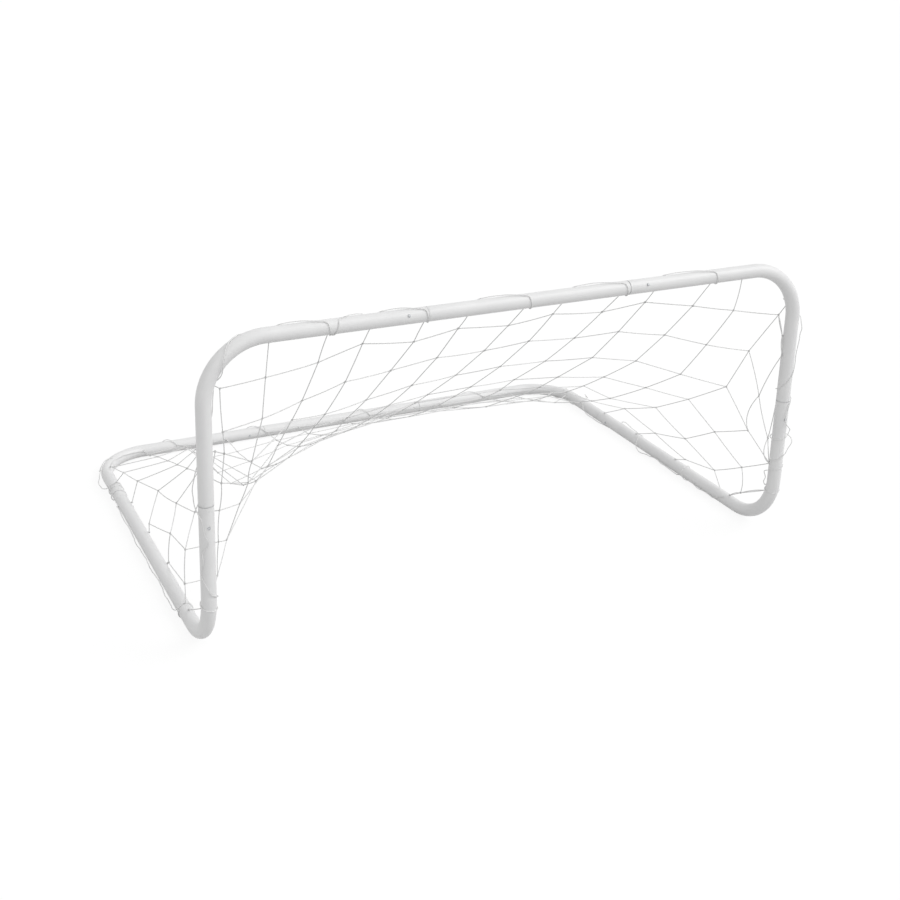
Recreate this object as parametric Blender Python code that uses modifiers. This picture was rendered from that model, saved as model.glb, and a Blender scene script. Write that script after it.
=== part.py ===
"""Mini soccer goal: eight swaged steel tubes locked by spring buttons, with a square-mesh net.

Metres, +Z up. The origin is on the ground at the middle of the frame's outline,
+Y runs from the mouth to the rear bar, and +X to the right of someone facing the mouth.
"""

import math

import bmesh
import bpy
import numpy as np
from mathutils import Vector

# Frame, outside measures
WIDTH = 1.83
HEIGHT = 0.885
DEPTH = 1.33
TUBE_OD = 0.040
TUBE_WALL = 0.0012
BEND_RADIUS = 0.16
TUBE_SIDES = 16
BEND_STEPS = 8

# Where one tube ends and the next begins
CROSSBAR_MIDDLE = 0.61
REAR_BAR_MIDDLE = 0.61
UPRIGHT_SEAM_HEIGHT = 0.4425
BASE_SEAM_DEPTH = 0.943

# Swaged joints
SOCKET_LENGTH = 0.085
SWAGE_TAPER = 0.0027
FIT = 0.0003

# Spring buttons
BUTTON_DIAMETER = 0.008
BUTTON_RISE = 0.003
BUTTON_FROM_SEAM = 0.055
BUTTON_DOME = 0.0018
BUTTON_SIDES = 16
BUTTON_ANGLES = {"upright": 0, "crossbar": 22.5, "base": 270, "rear_bar": 270}

# Leaf springs behind the buttons
LEAF_WIDTH = 0.010
LEAF_THICKNESS = 0.0008
LEAF_PAD = 0.009
LEAF_LENGTH = 0.050
LEAF_BEND_RADIUS = 0.004
LEAF_BEND_STEPS = 6

# Net
CORD = 0.0034
MESH_COLUMNS = 5
MESH_ROWS = 11
COLUMN_PITCH = 0.1426
COLUMN_SHIFT = 0.028
FIRST_ROW = 0.090
SAG_MIDDLE = 1.4
SAG_SIDE = 0.9
REAR_GATHER = 0.97
FIRST_ROW_STEP = 0.03
CORNER_ROWS = 9
RUN_MIDDLE = 1.05
RUN_LEFT = 0.5
CORNER_SLACK = {"left": (1.4, 2.3), "right": (2.05, 1.05)}
SIDE_SAG = 1.6
SIDE_RUN = 1.3
INSET = {"left": 0.08, "right": 0.0}
INSET_EARLY = 0.7
PANEL_GAP = 0.0055
PANEL_TIE_GAP = 0.025
PANEL_BASE_GAP = 0.06
WRAP_TURN = 30
WRAP_ADVANCE = 0.03
WRAP_SLACK = 0.0016
BASE_WRAP_ANGLE = 100
TOP_RUN = (0.4, 0.75)

# Ties of the side panels: heights on the upright, depths on the base
UPRIGHT_TIES = {
    "right": {"corner": 0.77, "row1": 0.62, "c2": 0.48, "c3": 0.33, "row3": 0.21},
    "left": {"corner": 0.77, "row1": 0.62, "c2": 0.46, "c3": 0.31, "row3": 0.20},
}
BASE_TIES = {"c3": 0.42, "row6": 0.55, "c2": 0.70, "row7": 0.85, "row8": 1.0}
EDGE_HEIGHT = 0.13
EDGE_DEPTH = 0.30
CORNER_DEPTH = 1.15

SIDES = {"left": -1, "right": 1}

RADIUS = TUBE_OD / 2
HALF_WIDTH = WIDTH / 2 - RADIUS
AXIS_DEPTH = DEPTH - TUBE_OD
MALE_RADIUS = RADIUS - TUBE_WALL - FIT
WRAP_RADIUS = RADIUS / math.cos(math.pi / TUBE_SIDES) + CORD / 2 + WRAP_SLACK
FRONT = -DEPTH / 2 + RADIUS


def clear_scene():
    for obj in list(bpy.data.objects):
        bpy.data.objects.remove(obj, do_unlink=True)


def collection(name):
    group = bpy.data.collections.new(name)
    bpy.context.scene.collection.children.link(group)
    return group


def material(name, color, roughness, metallic):
    made = bpy.data.materials.new(name)
    made.use_nodes = True
    shader = made.node_tree.nodes["Principled BSDF"]
    shader.inputs["Base Color"].default_value = (*color, 1)
    shader.inputs["Roughness"].default_value = roughness
    shader.inputs["Metallic"].default_value = metallic
    return made


def add_object(name, data, group, finish=None):
    obj = bpy.data.objects.new(name, data)
    group.objects.link(obj)
    if finish:
        obj.data.materials.append(finish)
    return obj


def hide(helper):
    helper.hide_render = True
    helper.display_type = "WIRE"
    return helper


class Loop:
    """The closed centre line of the whole frame, as a polyline with rounded corners."""

    def __init__(self):
        low = RADIUS
        high = HEIGHT - RADIUS
        front = FRONT
        rear = FRONT + AXIS_DEPTH
        corners = [
            (-HALF_WIDTH, rear, low),
            (-HALF_WIDTH, front, low),
            (-HALF_WIDTH, front, high),
            (HALF_WIDTH, front, high),
            (HALF_WIDTH, front, low),
            (HALF_WIDTH, rear, low),
        ]
        start = Vector((0, rear, low))
        points = [start]
        count = len(corners)
        for index, corner in enumerate(corners):
            before = Vector(corners[index - 1])
            after = Vector(corners[(index + 1) % count])
            points += self.bend(before, Vector(corner), after)
        points.append(start)
        self.points = np.array(points)
        steps = np.linalg.norm(np.diff(self.points, axis=0), axis=1)
        self.length = np.append(0, np.cumsum(steps))
        self.total = self.length[-1]

    @staticmethod
    def bend(before, corner, after):
        to_before = (before - corner).normalized()
        to_after = (after - corner).normalized()
        centre = corner + BEND_RADIUS * (to_before + to_after)
        turned = []
        for step in range(BEND_STEPS + 1):
            angle = math.pi / 2 * step / BEND_STEPS
            turned.append(centre - BEND_RADIUS * (math.cos(angle) * to_after + math.sin(angle) * to_before))
        return turned

    def point(self, place):
        place = place % self.total
        return Vector([np.interp(place, self.length, self.points[:, axis]) for axis in range(3)])

    def tangent(self, place):
        return (self.point(place + 1e-4) - self.point(place - 1e-4)).normalized()

    def outward(self, place):
        """The direction away from the goal's middle, square to the tube."""
        point = self.point(place)
        tangent = self.tangent(place)
        if point.z > RADIUS + BEND_RADIUS and abs(point.y - FRONT) < 1e-6:
            front = Vector((0, -1, 0))
            return front.cross(tangent).normalized()
        if point.y - FRONT < BEND_RADIUS:
            return Vector((math.copysign(1, point.x), 0, 0))
        down = Vector((0, 0, -1))
        return down.cross(tangent).normalized()

    def around(self, place, angle, radius):
        """A point beside the tube: 0 degrees is the front or underside, 90 is outward."""
        outward = self.outward(place)
        front = self.tangent(place).cross(outward)
        angle = math.radians(angle)
        return self.point(place) + radius * (math.cos(angle) * front + math.sin(angle) * outward)

    def stations(self, start, end):
        """Places of the ring corners strictly between two places."""
        corners = self.length[1:-1]
        return list(corners[(corners > start + 1e-6) & (corners < end - 1e-6)])

    def unwound(self, place, near):
        """The same place counted past the loop's start, so that it lies within half a round of another."""
        half = self.total / 2
        return near + (place - near + half) % self.total - half

    def nearest(self, target):
        """The place whose point lies closest to a target."""
        target = np.array(target)
        tail = self.points[:-1]
        run = self.points[1:] - tail
        share = np.clip(((target - tail) * run).sum(1) / (run * run).sum(1), 0, 1)
        spots = tail + share[:, None] * run
        index = int(np.argmin(np.linalg.norm(spots - target, axis=1)))
        return self.length[index] + share[index] * (self.length[index + 1] - self.length[index])


def polygon_profile(name, radius, group):
    """A flat-sided ring that touches the true circle, with one flat facing down."""
    curve = bpy.data.curves.new(name, "CURVE")
    curve.dimensions = "2D"
    spline = curve.splines.new("POLY")
    spline.points.add(TUBE_SIDES - 1)
    corner_radius = radius / math.cos(math.pi / TUBE_SIDES)
    for index, point in enumerate(spline.points):
        angle = 2 * math.pi * (index + 0.5) / TUBE_SIDES
        point.co = (corner_radius * math.cos(angle), corner_radius * math.sin(angle), 0, 1)
    spline.use_cyclic_u = True
    return hide(add_object(name, curve, group))


def poly_curve(name, points, group, radii=None, cyclic=False):
    curve = bpy.data.curves.new(name, "CURVE")
    curve.dimensions = "3D"
    spline = curve.splines.new("POLY")
    spline.points.add(len(points) - 1)
    for index, point in enumerate(points):
        spline.points[index].co = (*point, 1)
        spline.points[index].radius = radii[index] if radii else 1
    spline.use_cyclic_u = cyclic
    return add_object(name, curve, group)


def as_mesh(obj, group, finish=None):
    """Replaces a curve object by the mesh that it evaluates to, with its caps welded."""
    graph = bpy.context.evaluated_depsgraph_get()
    mesh = bpy.data.meshes.new_from_object(obj.evaluated_get(graph))
    name = obj.name
    place = obj.matrix_world.copy()
    bpy.data.objects.remove(obj, do_unlink=True)
    mesh.name = name
    mesh.materials.clear()
    shape = bmesh.new()
    shape.from_mesh(mesh)
    bmesh.ops.remove_doubles(shape, verts=shape.verts, dist=1e-6)
    bmesh.ops.recalc_face_normals(shape, faces=shape.faces)
    shape.to_mesh(mesh)
    shape.free()
    made = add_object(name, mesh, group, finish)
    made.matrix_world = place
    return made


def face_outward(obj, centre_of):
    """Turns the faces of an open tube so that they look away from its axis."""
    shape = bmesh.new()
    shape.from_mesh(obj.data)
    shape.faces.ensure_lookup_table()
    face = shape.faces[0]
    middle = face.calc_center_median()
    if face.normal.dot(middle - centre_of(middle)) < 0:
        bmesh.ops.reverse_faces(shape, faces=shape.faces)
    shape.to_mesh(obj.data)
    shape.free()


def smooth(obj, degrees=30):
    obj.data.shade_smooth()
    obj.data.set_sharp_from_angle(angle=math.radians(degrees))


def boolean(obj, cutter, operation):
    modifier = obj.modifiers.new(operation.title(), "BOOLEAN")
    modifier.operation = operation
    modifier.object = cutter
    return modifier


def make_tube(name, start, end, male, loop, profile, groups, finish):
    """One length of the frame between two seams. Its male ends are swaged to fit the next tube."""
    places = [start, *loop.stations(start, end), end]
    points = [loop.point(place) for place in places]
    radii = [1.0] * len(points)
    swaged = MALE_RADIUS / RADIUS
    if "start" in male:
        along = loop.tangent(start)
        points[0] = points[0] + along * SWAGE_TAPER
        seam = loop.point(start) + along * FIT
        points = [seam - along * SOCKET_LENGTH, seam] + points
        radii = [swaged, swaged] + radii
    if "end" in male:
        along = loop.tangent(end)
        points[-1] = points[-1] - along * SWAGE_TAPER
        seam = loop.point(end) - along * FIT
        points = points + [seam, seam + along * SOCKET_LENGTH]
        radii = radii + [swaged, swaged]
    curve = poly_curve(name, points, groups["goal"], radii)
    curve.data.bevel_mode = "OBJECT"
    curve.data.bevel_object = profile
    tube = as_mesh(curve, groups["goal"], finish)
    face_outward(tube, lambda spot: loop.point(loop.nearest(spot)))
    smooth(tube)
    wall = tube.modifiers.new("Wall", "SOLIDIFY")
    wall.thickness = TUBE_WALL
    wall.offset = -1
    wall.use_even_offset = True
    return tube


def button_frame(loop, place, angle):
    """An empty at the tube's axis whose Z points out of the button's hole and X along the tube."""
    empty = bpy.data.objects.new("button_place", None)
    out = (loop.around(place, angle, 1) - loop.point(place)).normalized()
    along = loop.tangent(place)
    across = out.cross(along)
    matrix = empty.matrix_world.copy()
    for row in range(3):
        matrix[row][0] = along[row]
        matrix[row][1] = across[row]
        matrix[row][2] = out[row]
        matrix[row][3] = loop.point(place)[row]
    empty.matrix_world = matrix
    return empty


def leaf_seat():
    """How far from the tube's axis a flat strip lies when its edges touch the faceted bore."""
    bore = MALE_RADIUS - TUBE_WALL
    half_angle = math.pi / TUBE_SIDES
    beyond = max(0, LEAF_WIDTH / 2 - bore * math.tan(half_angle))
    return bore - beyond * math.tan(2 * half_angle) - FIT


def hole_cutter(name, place, group):
    radius = BUTTON_DIAMETER / 2 + FIT
    shape = bmesh.new()
    bmesh.ops.create_cone(
        shape, cap_ends=True, segments=BUTTON_SIDES, radius1=radius, radius2=radius, depth=TUBE_OD
    )
    bmesh.ops.translate(shape, verts=shape.verts, vec=(0, 0, TUBE_OD / 2 + leaf_seat() / 2))
    mesh = bpy.data.meshes.new(name)
    shape.to_mesh(mesh)
    shape.free()
    cutter = hide(add_object(name, mesh, group))
    cutter.parent = place
    return cutter


def make_button(name, place, group, finish):
    """A domed pin that stands on the leaf spring and comes out through both tubes."""
    radius = BUTTON_DIAMETER / 2
    top = RADIUS + BUTTON_RISE
    shoulder = top - BUTTON_DOME
    foot = leaf_seat() + FIT
    profile = [(0, top), (radius * 0.55, top - BUTTON_DOME * 0.22), (radius * 0.87, top - BUTTON_DOME * 0.6)]
    profile += [(radius, shoulder), (radius, foot), (0, foot)]
    mesh = bpy.data.meshes.new(name)
    corners = [(x, 0, z) for x, z in profile]
    mesh.from_pydata(corners, [(i, i + 1) for i in range(len(corners) - 1)], [])
    button = add_object(name, mesh, group, finish)
    button.parent = place
    turn = button.modifiers.new("Turn", "SCREW")
    turn.steps = BUTTON_SIDES
    turn.render_steps = BUTTON_SIDES
    turn.use_merge_vertices = True
    turn.merge_threshold = 1e-5
    turn.use_smooth_shade = False
    return button


def make_leaf(name, place, toward_seam, group, finish):
    """A V of spring strip: one pad under the button, the other on the far wall of the bore."""
    seat = leaf_seat() - LEAF_THICKNESS / 2
    start = LEAF_PAD
    line = [(start, seat), (-LEAF_PAD, seat)]
    bend_at = LEAF_PAD - LEAF_LENGTH
    for step in range(LEAF_BEND_STEPS + 1):
        angle = math.pi * step / LEAF_BEND_STEPS
        line.append((bend_at - LEAF_BEND_RADIUS * math.sin(angle), LEAF_BEND_RADIUS * math.cos(angle)))
    line += [(-LEAF_PAD, -seat), (start, -seat)]
    half = LEAF_WIDTH / 2
    corners = [(x * toward_seam, y, z) for x, z in line for y in (-half, half)]
    faces = [(2 * i, 2 * i + 1, 2 * i + 3, 2 * i + 2) for i in range(len(line) - 1)]
    mesh = bpy.data.meshes.new(name)
    mesh.from_pydata(corners, [], faces)
    leaf = add_object(name, mesh, group, finish)
    leaf.parent = place
    strip = leaf.modifiers.new("Strip", "SOLIDIFY")
    strip.thickness = LEAF_THICKNESS
    strip.offset = 0
    strip.use_even_offset = True
    return leaf


def make_joint(name, loop, seam, female_side, angle, tubes, groups, finish):
    """Button, leaf spring and the hole through both tubes, on the female side of a seam."""
    frame = button_frame(loop, seam + female_side * BUTTON_FROM_SEAM, angle)
    frame.name = "joint_" + name
    groups["goal"].objects.link(frame)
    cutter = hole_cutter("hole_" + name, frame, groups["cutters"])
    for tube in tubes:
        boolean(tube, cutter, "DIFFERENCE")
    make_button("snap_button_" + name, frame, groups["goal"], finish)
    make_leaf("leaf_spring_" + name, frame, female_side, groups["goal"], finish)


def make_frame(loop, groups, finishes):
    """Eight tubes round the closed centre line, joined end to end."""
    rear = FRONT + AXIS_DEPTH
    low = RADIUS
    top = HEIGHT - RADIUS
    seams = {
        "rear_bar_left": loop.nearest((-REAR_BAR_MIDDLE / 2, rear, low)),
        "base_left": loop.nearest((-HALF_WIDTH, FRONT + BASE_SEAM_DEPTH, low)),
        "upright_left": loop.nearest((-HALF_WIDTH, FRONT, UPRIGHT_SEAM_HEIGHT)),
        "crossbar_left": loop.nearest((-CROSSBAR_MIDDLE / 2, FRONT, top)),
        "crossbar_right": loop.nearest((CROSSBAR_MIDDLE / 2, FRONT, top)),
        "upright_right": loop.nearest((HALF_WIDTH, FRONT, UPRIGHT_SEAM_HEIGHT)),
        "base_right": loop.nearest((HALF_WIDTH, FRONT + BASE_SEAM_DEPTH, low)),
        "rear_bar_right": loop.nearest((REAR_BAR_MIDDLE / 2, rear, low)),
    }
    pieces = {
        "rear_corner_left": ("rear_bar_left", "base_left", ("end",)),
        "bottom_corner_left": ("base_left", "upright_left", ()),
        "top_corner_left": ("upright_left", "crossbar_left", ("start",)),
        "crossbar_middle": ("crossbar_left", "crossbar_right", ("start", "end")),
        "top_corner_right": ("crossbar_right", "upright_right", ("end",)),
        "bottom_corner_right": ("upright_right", "base_right", ()),
        "rear_corner_right": ("base_right", "rear_bar_right", ("start",)),
        "rear_bar_middle": ("rear_bar_right", "rear_bar_left", ("start", "end")),
    }
    profile = polygon_profile("tube_profile", RADIUS, groups["cutters"])
    tubes = {}
    for name, (first, last, male) in pieces.items():
        start = seams[first]
        end = seams[last]
        if end < start:
            start -= loop.total
        tubes[name] = make_tube(name, start, end, male, loop, profile, groups, finishes["steel"])
    names = list(pieces)
    females = {
        "rear_bar_left": 1,
        "base_left": 1,
        "upright_left": -1,
        "crossbar_left": -1,
        "crossbar_right": 1,
        "upright_right": 1,
        "base_right": -1,
        "rear_bar_right": -1,
    }
    for name, side in females.items():
        joined = [tubes[piece] for piece in names if name in pieces[piece][:2]]
        angle = BUTTON_ANGLES[name.rsplit("_", 1)[0]]
        make_joint(name, loop, seams[name], side, angle, joined, groups, finishes["zinc"])
    return profile


def hang(top, bottom, sag, run):
    """A slack cord line: steep under its top tie, then running out low to its bottom tie."""
    share = np.linspace(0, 1, 241)
    top = np.array(top)
    bottom = np.array(bottom)
    line = top + (bottom - top) * share[:, None]
    line[:, 1] = top[1] + (bottom[1] - top[1]) * share**run
    line[:, 2] = bottom[2] + (top[2] - bottom[2]) * (1 - share) ** sag
    return line


def spaced(line, count, first=None):
    """Knots at equal steps along a line, the first step given by itself if asked."""
    steps = np.linalg.norm(np.diff(line, axis=0), axis=1)
    length = np.append(0, np.cumsum(steps))
    if first:
        places = np.append(0, np.linspace(first, length[-1], count))
    else:
        places = np.linspace(0, length[-1], count + 1)
    return [Vector([np.interp(place, length, line[:, axis]) for axis in range(3)]) for place in places]


class Net:
    """Knots by name, the cells between them, and the ties where a cord meets a tube."""

    def __init__(self, name, loop):
        self.name = name
        self.loop = loop
        self.knots = {}
        self.cells = []
        self.runs = []

    def column(self, label, knots):
        for row, knot in enumerate(knots):
            self.knots[(label, row)] = knot

    def tie(self, label, place):
        self.knots[label] = self.loop.point(place)

    def landing(self, tie, inner):
        """Where the cord from an inner knot to a tie on the tube's axis meets the border cord."""
        near = self.knots[tie]
        far = self.knots[inner]
        low = 0.0
        high = 1.0
        for _ in range(40):
            middle = (low + high) / 2
            spot = near.lerp(far, middle)
            place = self.loop.nearest(spot)
            if (spot - self.loop.point(place)).length < WRAP_RADIUS:
                low = middle
            else:
                high = middle
        place = self.loop.nearest(spot)
        outward = self.loop.outward(place)
        front = self.loop.tangent(place).cross(outward)
        aside = spot - self.loop.point(place)
        angle = math.degrees(math.atan2(aside.dot(outward), aside.dot(front))) % 360
        return place, angle

    def follow_tubes(self):
        """Adds knots to each cell side between two ties, so that it stays inside a bent tube."""
        ties = {}
        for key, spot in self.knots.items():
            place = self.loop.nearest(spot)
            if (spot - self.loop.point(place)).length < 1e-5:
                ties[key] = place
        followed = []
        for cell in self.cells:
            corners = []
            for key, after in zip(cell, (*cell[1:], cell[0])):
                corners.append(key)
                if key in ties and after in ties:
                    corners += self.tube_knots(ties[key], ties[after])
            followed.append(corners)
        self.cells = followed

    def tube_knots(self, start, end):
        end = self.loop.unwound(end, start)
        places = self.loop.stations(min(start, end), max(start, end))
        keys = [("bend", round(place, 6)) for place in places]
        for key, place in zip(keys, places):
            self.knots[key] = self.loop.point(place)
        return keys if start < end else keys[::-1]

    def panel(self):
        self.follow_tubes()
        keys = list(self.knots)
        index = {key: number for number, key in enumerate(keys)}
        mesh = bpy.data.meshes.new(self.name)
        faces = [[index[key] for key in cell] for cell in self.cells]
        mesh.from_pydata([self.knots[key] for key in keys], [], faces)
        return mesh


def wrap(loop, landings, over, first_over):
    """The border cord through its landings, carried round the tube between every second pair."""
    path = [landings[0]]
    for index, (after, after_angle) in enumerate(landings[1:]):
        place, angle = path[-1]
        after = loop.unwound(after, place)
        if index % 2 == first_over:
            path += over(place, angle, after, after_angle)
        else:
            path += short_way(place, angle, after, after_angle)
    return [loop.around(place, angle, WRAP_RADIUS) for place, angle in path]


def spread(place, angle, after, after_angle):
    """Points from one spot on the tube to another, close enough to follow its round and its bends."""
    steps = math.ceil(max(abs(after_angle - angle) / WRAP_TURN, abs(after - place) / WRAP_ADVANCE, 1))
    shares = [step / steps for step in range(1, steps + 1)]
    return [(place + (after - place) * share, angle + (after_angle - angle) * share) for share in shares]


def short_way(place, angle, after, after_angle):
    turn = (after_angle - angle + 180) % 360 - 180
    return spread(place, angle, after, angle + turn)


def full_turn(place, angle, after, after_angle):
    """Up the front of the tube, along its top and down its rear."""
    turn = (after_angle - angle) % 360
    if turn < 180:
        turn += 360
    front = angle + turn * TOP_RUN[0]
    rear = angle + turn * TOP_RUN[1]
    up = spread(place, angle, place, front)
    along = spread(place, front, after, rear)
    return up + along + spread(after, rear, after, angle + turn)


def over_and_back(place, angle, after, after_angle):
    """Over the top of a tube that lies on the ground, along its outer side and back."""
    middle = (place + after) / 2
    reach = min(WRAP_ADVANCE / 2, abs(after - place) / 4)
    side = math.copysign(reach, after - place)
    outside = [(middle - side, BASE_WRAP_ANGLE), (middle + side, BASE_WRAP_ANGLE)]
    there = short_way(place, angle, *outside[0])
    return there + outside[1:] + short_way(*outside[1], after, after_angle)


def cord(name, points, group, finish):
    curve = poly_curve(name, points, group)
    curve.data.bevel_depth = CORD / 2
    curve.data.bevel_resolution = 0
    curve.data.use_fill_caps = True
    return hide(as_mesh(curve, group, finish))


def finish_net(net, trim, groups, finish):
    """Cords along every edge of the panel, trimmed at the tubes and joined to their border cords."""
    panel = add_object(net.name, net.panel(), groups["goal"], finish)
    wires = panel.modifiers.new("Cords", "WIREFRAME")
    wires.thickness = CORD
    wires.use_boundary = True
    wires.use_replace = True
    wires.use_even_offset = False
    boolean(panel, trim, "DIFFERENCE")
    for number, (over, first_over, ties) in enumerate(net.runs, 1):
        landings = [net.landing(tie, inner) for tie, inner in ties]
        points = wrap(net.loop, landings, over, first_over)
        border = cord(f"{net.name}_border_{number}", points, groups["cutters"], finish)
        boolean(panel, border, "UNION")
    return panel


def column_place(index):
    """Distance of a net column from the middle of the crossbar: every second one sits off the grid."""
    return index * COLUMN_PITCH - COLUMN_SHIFT * (index % 2)


def slack(x):
    """How steeply a column hangs and how late it runs back, by its place across the goal."""
    share = x / HALF_WIDTH
    sag = SAG_MIDDLE + SAG_SIDE * abs(share) ** 3
    run = RUN_MIDDLE + RUN_LEFT * max(0, -share - 0.6) / 0.4
    return sag, run


def corner_column(loop, side, sign):
    """The knots of the column that runs from the top bend to the rear of the base."""
    top = loop.point(loop.nearest((sign * HALF_WIDTH, FRONT, UPRIGHT_TIES[side]["corner"])))
    bottom = loop.point(loop.nearest((sign * HALF_WIDTH, FRONT + CORNER_DEPTH, RADIUS)))
    line = hang(top, bottom, *CORNER_SLACK[side])
    share = np.linspace(0, 1, len(line))
    inset = INSET[side] * np.sin(math.pi * share**INSET_EARLY)
    line[:, 0] -= sign * inset
    return spaced(line, CORNER_ROWS)


def make_back(loop, trim, groups, finish):
    """The main panel, from the crossbar down and back to the rear bar."""
    net = Net("net_back", loop)
    top_z = HEIGHT - RADIUS
    rear = FRONT + AXIS_DEPTH
    columns = range(-MESH_COLUMNS, MESH_COLUMNS + 1)
    for index in columns:
        x = column_place(index)
        sag, run = slack(x)
        top = loop.point(loop.nearest((x, FRONT, top_z)))
        bottom = loop.point(loop.nearest((x * REAR_GATHER, rear, RADIUS)))
        line = hang(top, bottom, sag, run)
        first = FIRST_ROW - FIRST_ROW_STEP * (index % 2)
        net.column(index, spaced(line, MESH_ROWS, first))
    for index in columns[:-1]:
        for row in range(MESH_ROWS):
            net.cells.append(((index, row), (index + 1, row), (index + 1, row + 1), (index, row + 1)))
    for side, sign in SIDES.items():
        net.column(side, corner_column(loop, side, sign))
        net.tie((side, "rear"), loop.nearest((sign * HALF_WIDTH, rear, RADIUS)))
        edge = sign * MESH_COLUMNS
        cells = [((edge, r), (side, r), (side, r + 1), (edge, r + 1)) for r in range(CORNER_ROWS)]
        cells.append(((edge, CORNER_ROWS), (side, CORNER_ROWS), (side, "rear"), (edge, CORNER_ROWS + 1)))
        cells.append(((edge, CORNER_ROWS + 1), (side, "rear"), (edge, MESH_ROWS)))
        net.cells += [cell if sign > 0 else cell[::-1] for cell in cells]
    upper = [((index, 0), (index, 1)) for index in ("left", *columns, "right")]
    net.runs.append((full_turn, 0, upper))
    lower = [((index, MESH_ROWS), (index, MESH_ROWS - 1)) for index in reversed(columns)]
    ends = {}
    for side, sign in SIDES.items():
        ends[side] = [
            ((side, CORNER_ROWS), (side, CORNER_ROWS - 1)),
            ((side, "rear"), (sign * MESH_COLUMNS, CORNER_ROWS + 1)),
        ]
    net.runs.append((over_and_back, 0, [*ends["right"], *lower, *reversed(ends["left"])]))
    return finish_net(net, trim, groups, finish)


def make_side(side, sign, loop, trim, groups, finish):
    """A side panel, between the corner column, the upright and the base."""
    net = Net("net_" + side, loop)
    corner = corner_column(loop, side, sign)
    corner = [knot + Vector((sign * PANEL_GAP, 0, 0)) for knot in corner]
    corner[0] = loop.point(loop.nearest(corner[0]) + sign * PANEL_TIE_GAP)
    corner[-1] = loop.point(loop.nearest(corner[-1]) - sign * PANEL_BASE_GAP)
    net.column("c1", corner)
    for label, height in UPRIGHT_TIES[side].items():
        net.tie(("post", label), loop.nearest((sign * HALF_WIDTH, FRONT, height)))
    for label, depth in BASE_TIES.items():
        net.tie(("base", label), loop.nearest((sign * HALF_WIDTH, FRONT + depth, RADIUS)))
    net.tie(("post", "edge"), loop.nearest((sign * HALF_WIDTH, FRONT, EDGE_HEIGHT)))
    net.tie(("base", "edge"), loop.nearest((sign * HALF_WIDTH, FRONT + EDGE_DEPTH, RADIUS)))
    for label, count in (("c2", 5), ("c3", 4)):
        line = hang(net.knots[("post", label)], net.knots[("base", label)], SIDE_SAG, SIDE_RUN)
        net.column(label, spaced(line, count))
    edge = hang(net.knots[("post", "edge")], net.knots[("base", "edge")], 1, 1)
    net.column("edge", spaced(edge, 3))
    net.cells = side_cells()
    if sign < 0:
        net.cells = [cell[::-1] for cell in net.cells]
    used = {key for cell in net.cells for key in cell}
    net.knots = {key: spot for key, spot in net.knots.items() if key in used}
    post = [
        (("c1", 0), ("c1", 1)),
        (("post", "row1"), ("c1", 1)),
        (("post", "c2"), ("c2", 1)),
        (("post", "c3"), ("c3", 1)),
        (("post", "row3"), ("c3", 1)),
        (("post", "edge"), ("edge", 1)),
    ]
    base = [
        (("base", "edge"), ("edge", 2)),
        (("base", "c3"), ("c3", 3)),
        (("base", "row6"), ("c2", 4)),
        (("base", "c2"), ("c2", 4)),
        (("base", "row7"), ("c1", 7)),
        (("base", "row8"), ("c1", 8)),
        (("c1", CORNER_ROWS), ("c1", CORNER_ROWS - 1)),
    ]
    net.runs = [(full_turn, 1, post), (over_and_back, 0, base)]
    return finish_net(net, trim, groups, finish)


def side_cells():
    """Cells of a side panel, whose rows end one by one on the upright and on the base."""
    c1, c2, c3, edge = ([(label, row) for row in range(10)] for label in ("c1", "c2", "c3", "edge"))
    post = {label: ("post", label) for label in ("row1", "c2", "c3", "row3", "edge")}
    base = {label: ("base", label) for label in ("edge", "c3", "row6", "c2", "row7", "row8")}
    return [
        (c1[0], c1[1], post["row1"]),
        (c1[1], c1[2], post["c2"], post["row1"]),
        (c1[2], c1[3], c2[1], post["c2"]),
        (c1[3], c1[4], c2[2], c2[1]),
        (c1[4], c1[5], c2[3], c2[2]),
        (c1[5], c1[6], c2[4], c2[3]),
        (c1[6], c1[7], base["row7"], base["c2"], c2[4]),
        (c1[7], c1[8], base["row8"], base["row7"]),
        (c1[8], c1[9], base["row8"]),
        (post["c2"], c2[1], c3[1], post["c3"]),
        (c2[1], c2[2], c3[2], c3[1]),
        (c2[2], c2[3], c3[3], c3[2]),
        (c2[3], c2[4], base["row6"], base["c3"], c3[3]),
        (c2[4], base["c2"], base["row6"]),
        (post["c3"], c3[1], post["row3"]),
        (post["row3"], c3[1], c3[2], edge[1], post["edge"]),
        (c3[2], c3[3], edge[2], edge[1]),
        (c3[3], base["c3"], base["edge"], edge[2]),
    ]


def make_trim(loop, profile, groups):
    """The frame's whole outline a little larger, to cut the cords off just short of the tubes."""
    radii = [(RADIUS + FIT) / RADIUS] * (len(loop.points) - 1)
    curve = poly_curve("frame_outline", loop.points[:-1], groups["cutters"], radii, cyclic=True)
    curve.data.bevel_mode = "OBJECT"
    curve.data.bevel_object = profile
    return hide(as_mesh(curve, groups["cutters"]))


def main():
    clear_scene()
    groups = {"goal": collection("mini_soccer_goal"), "cutters": collection("cutters")}
    finishes = {
        "steel": material("white_powder_coat", (0.86, 0.87, 0.88), 0.38, 0.0),
        "zinc": material("zinc_plated_spring_steel", (0.62, 0.63, 0.65), 0.35, 1.0),
        "cord": material("white_polyethylene_cord", (0.85, 0.85, 0.84), 0.65, 0.0),
    }
    loop = Loop()
    profile = make_frame(loop, groups, finishes)
    trim = make_trim(loop, profile, groups)
    make_back(loop, trim, groups, finishes["cord"])
    for side, sign in SIDES.items():
        make_side(side, sign, loop, trim, groups, finishes["cord"])


main()
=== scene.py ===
"""Looks of the mini soccer goal: powder-coated tubes, zinc spring buttons and a knotted cord net.

Metres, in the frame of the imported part: +Z up, the mouth towards -Y, the ground at z = 0.
"""

import math
from contextlib import contextmanager

import bmesh
import bpy
import numpy as np
from mathutils import Matrix, Vector


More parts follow.
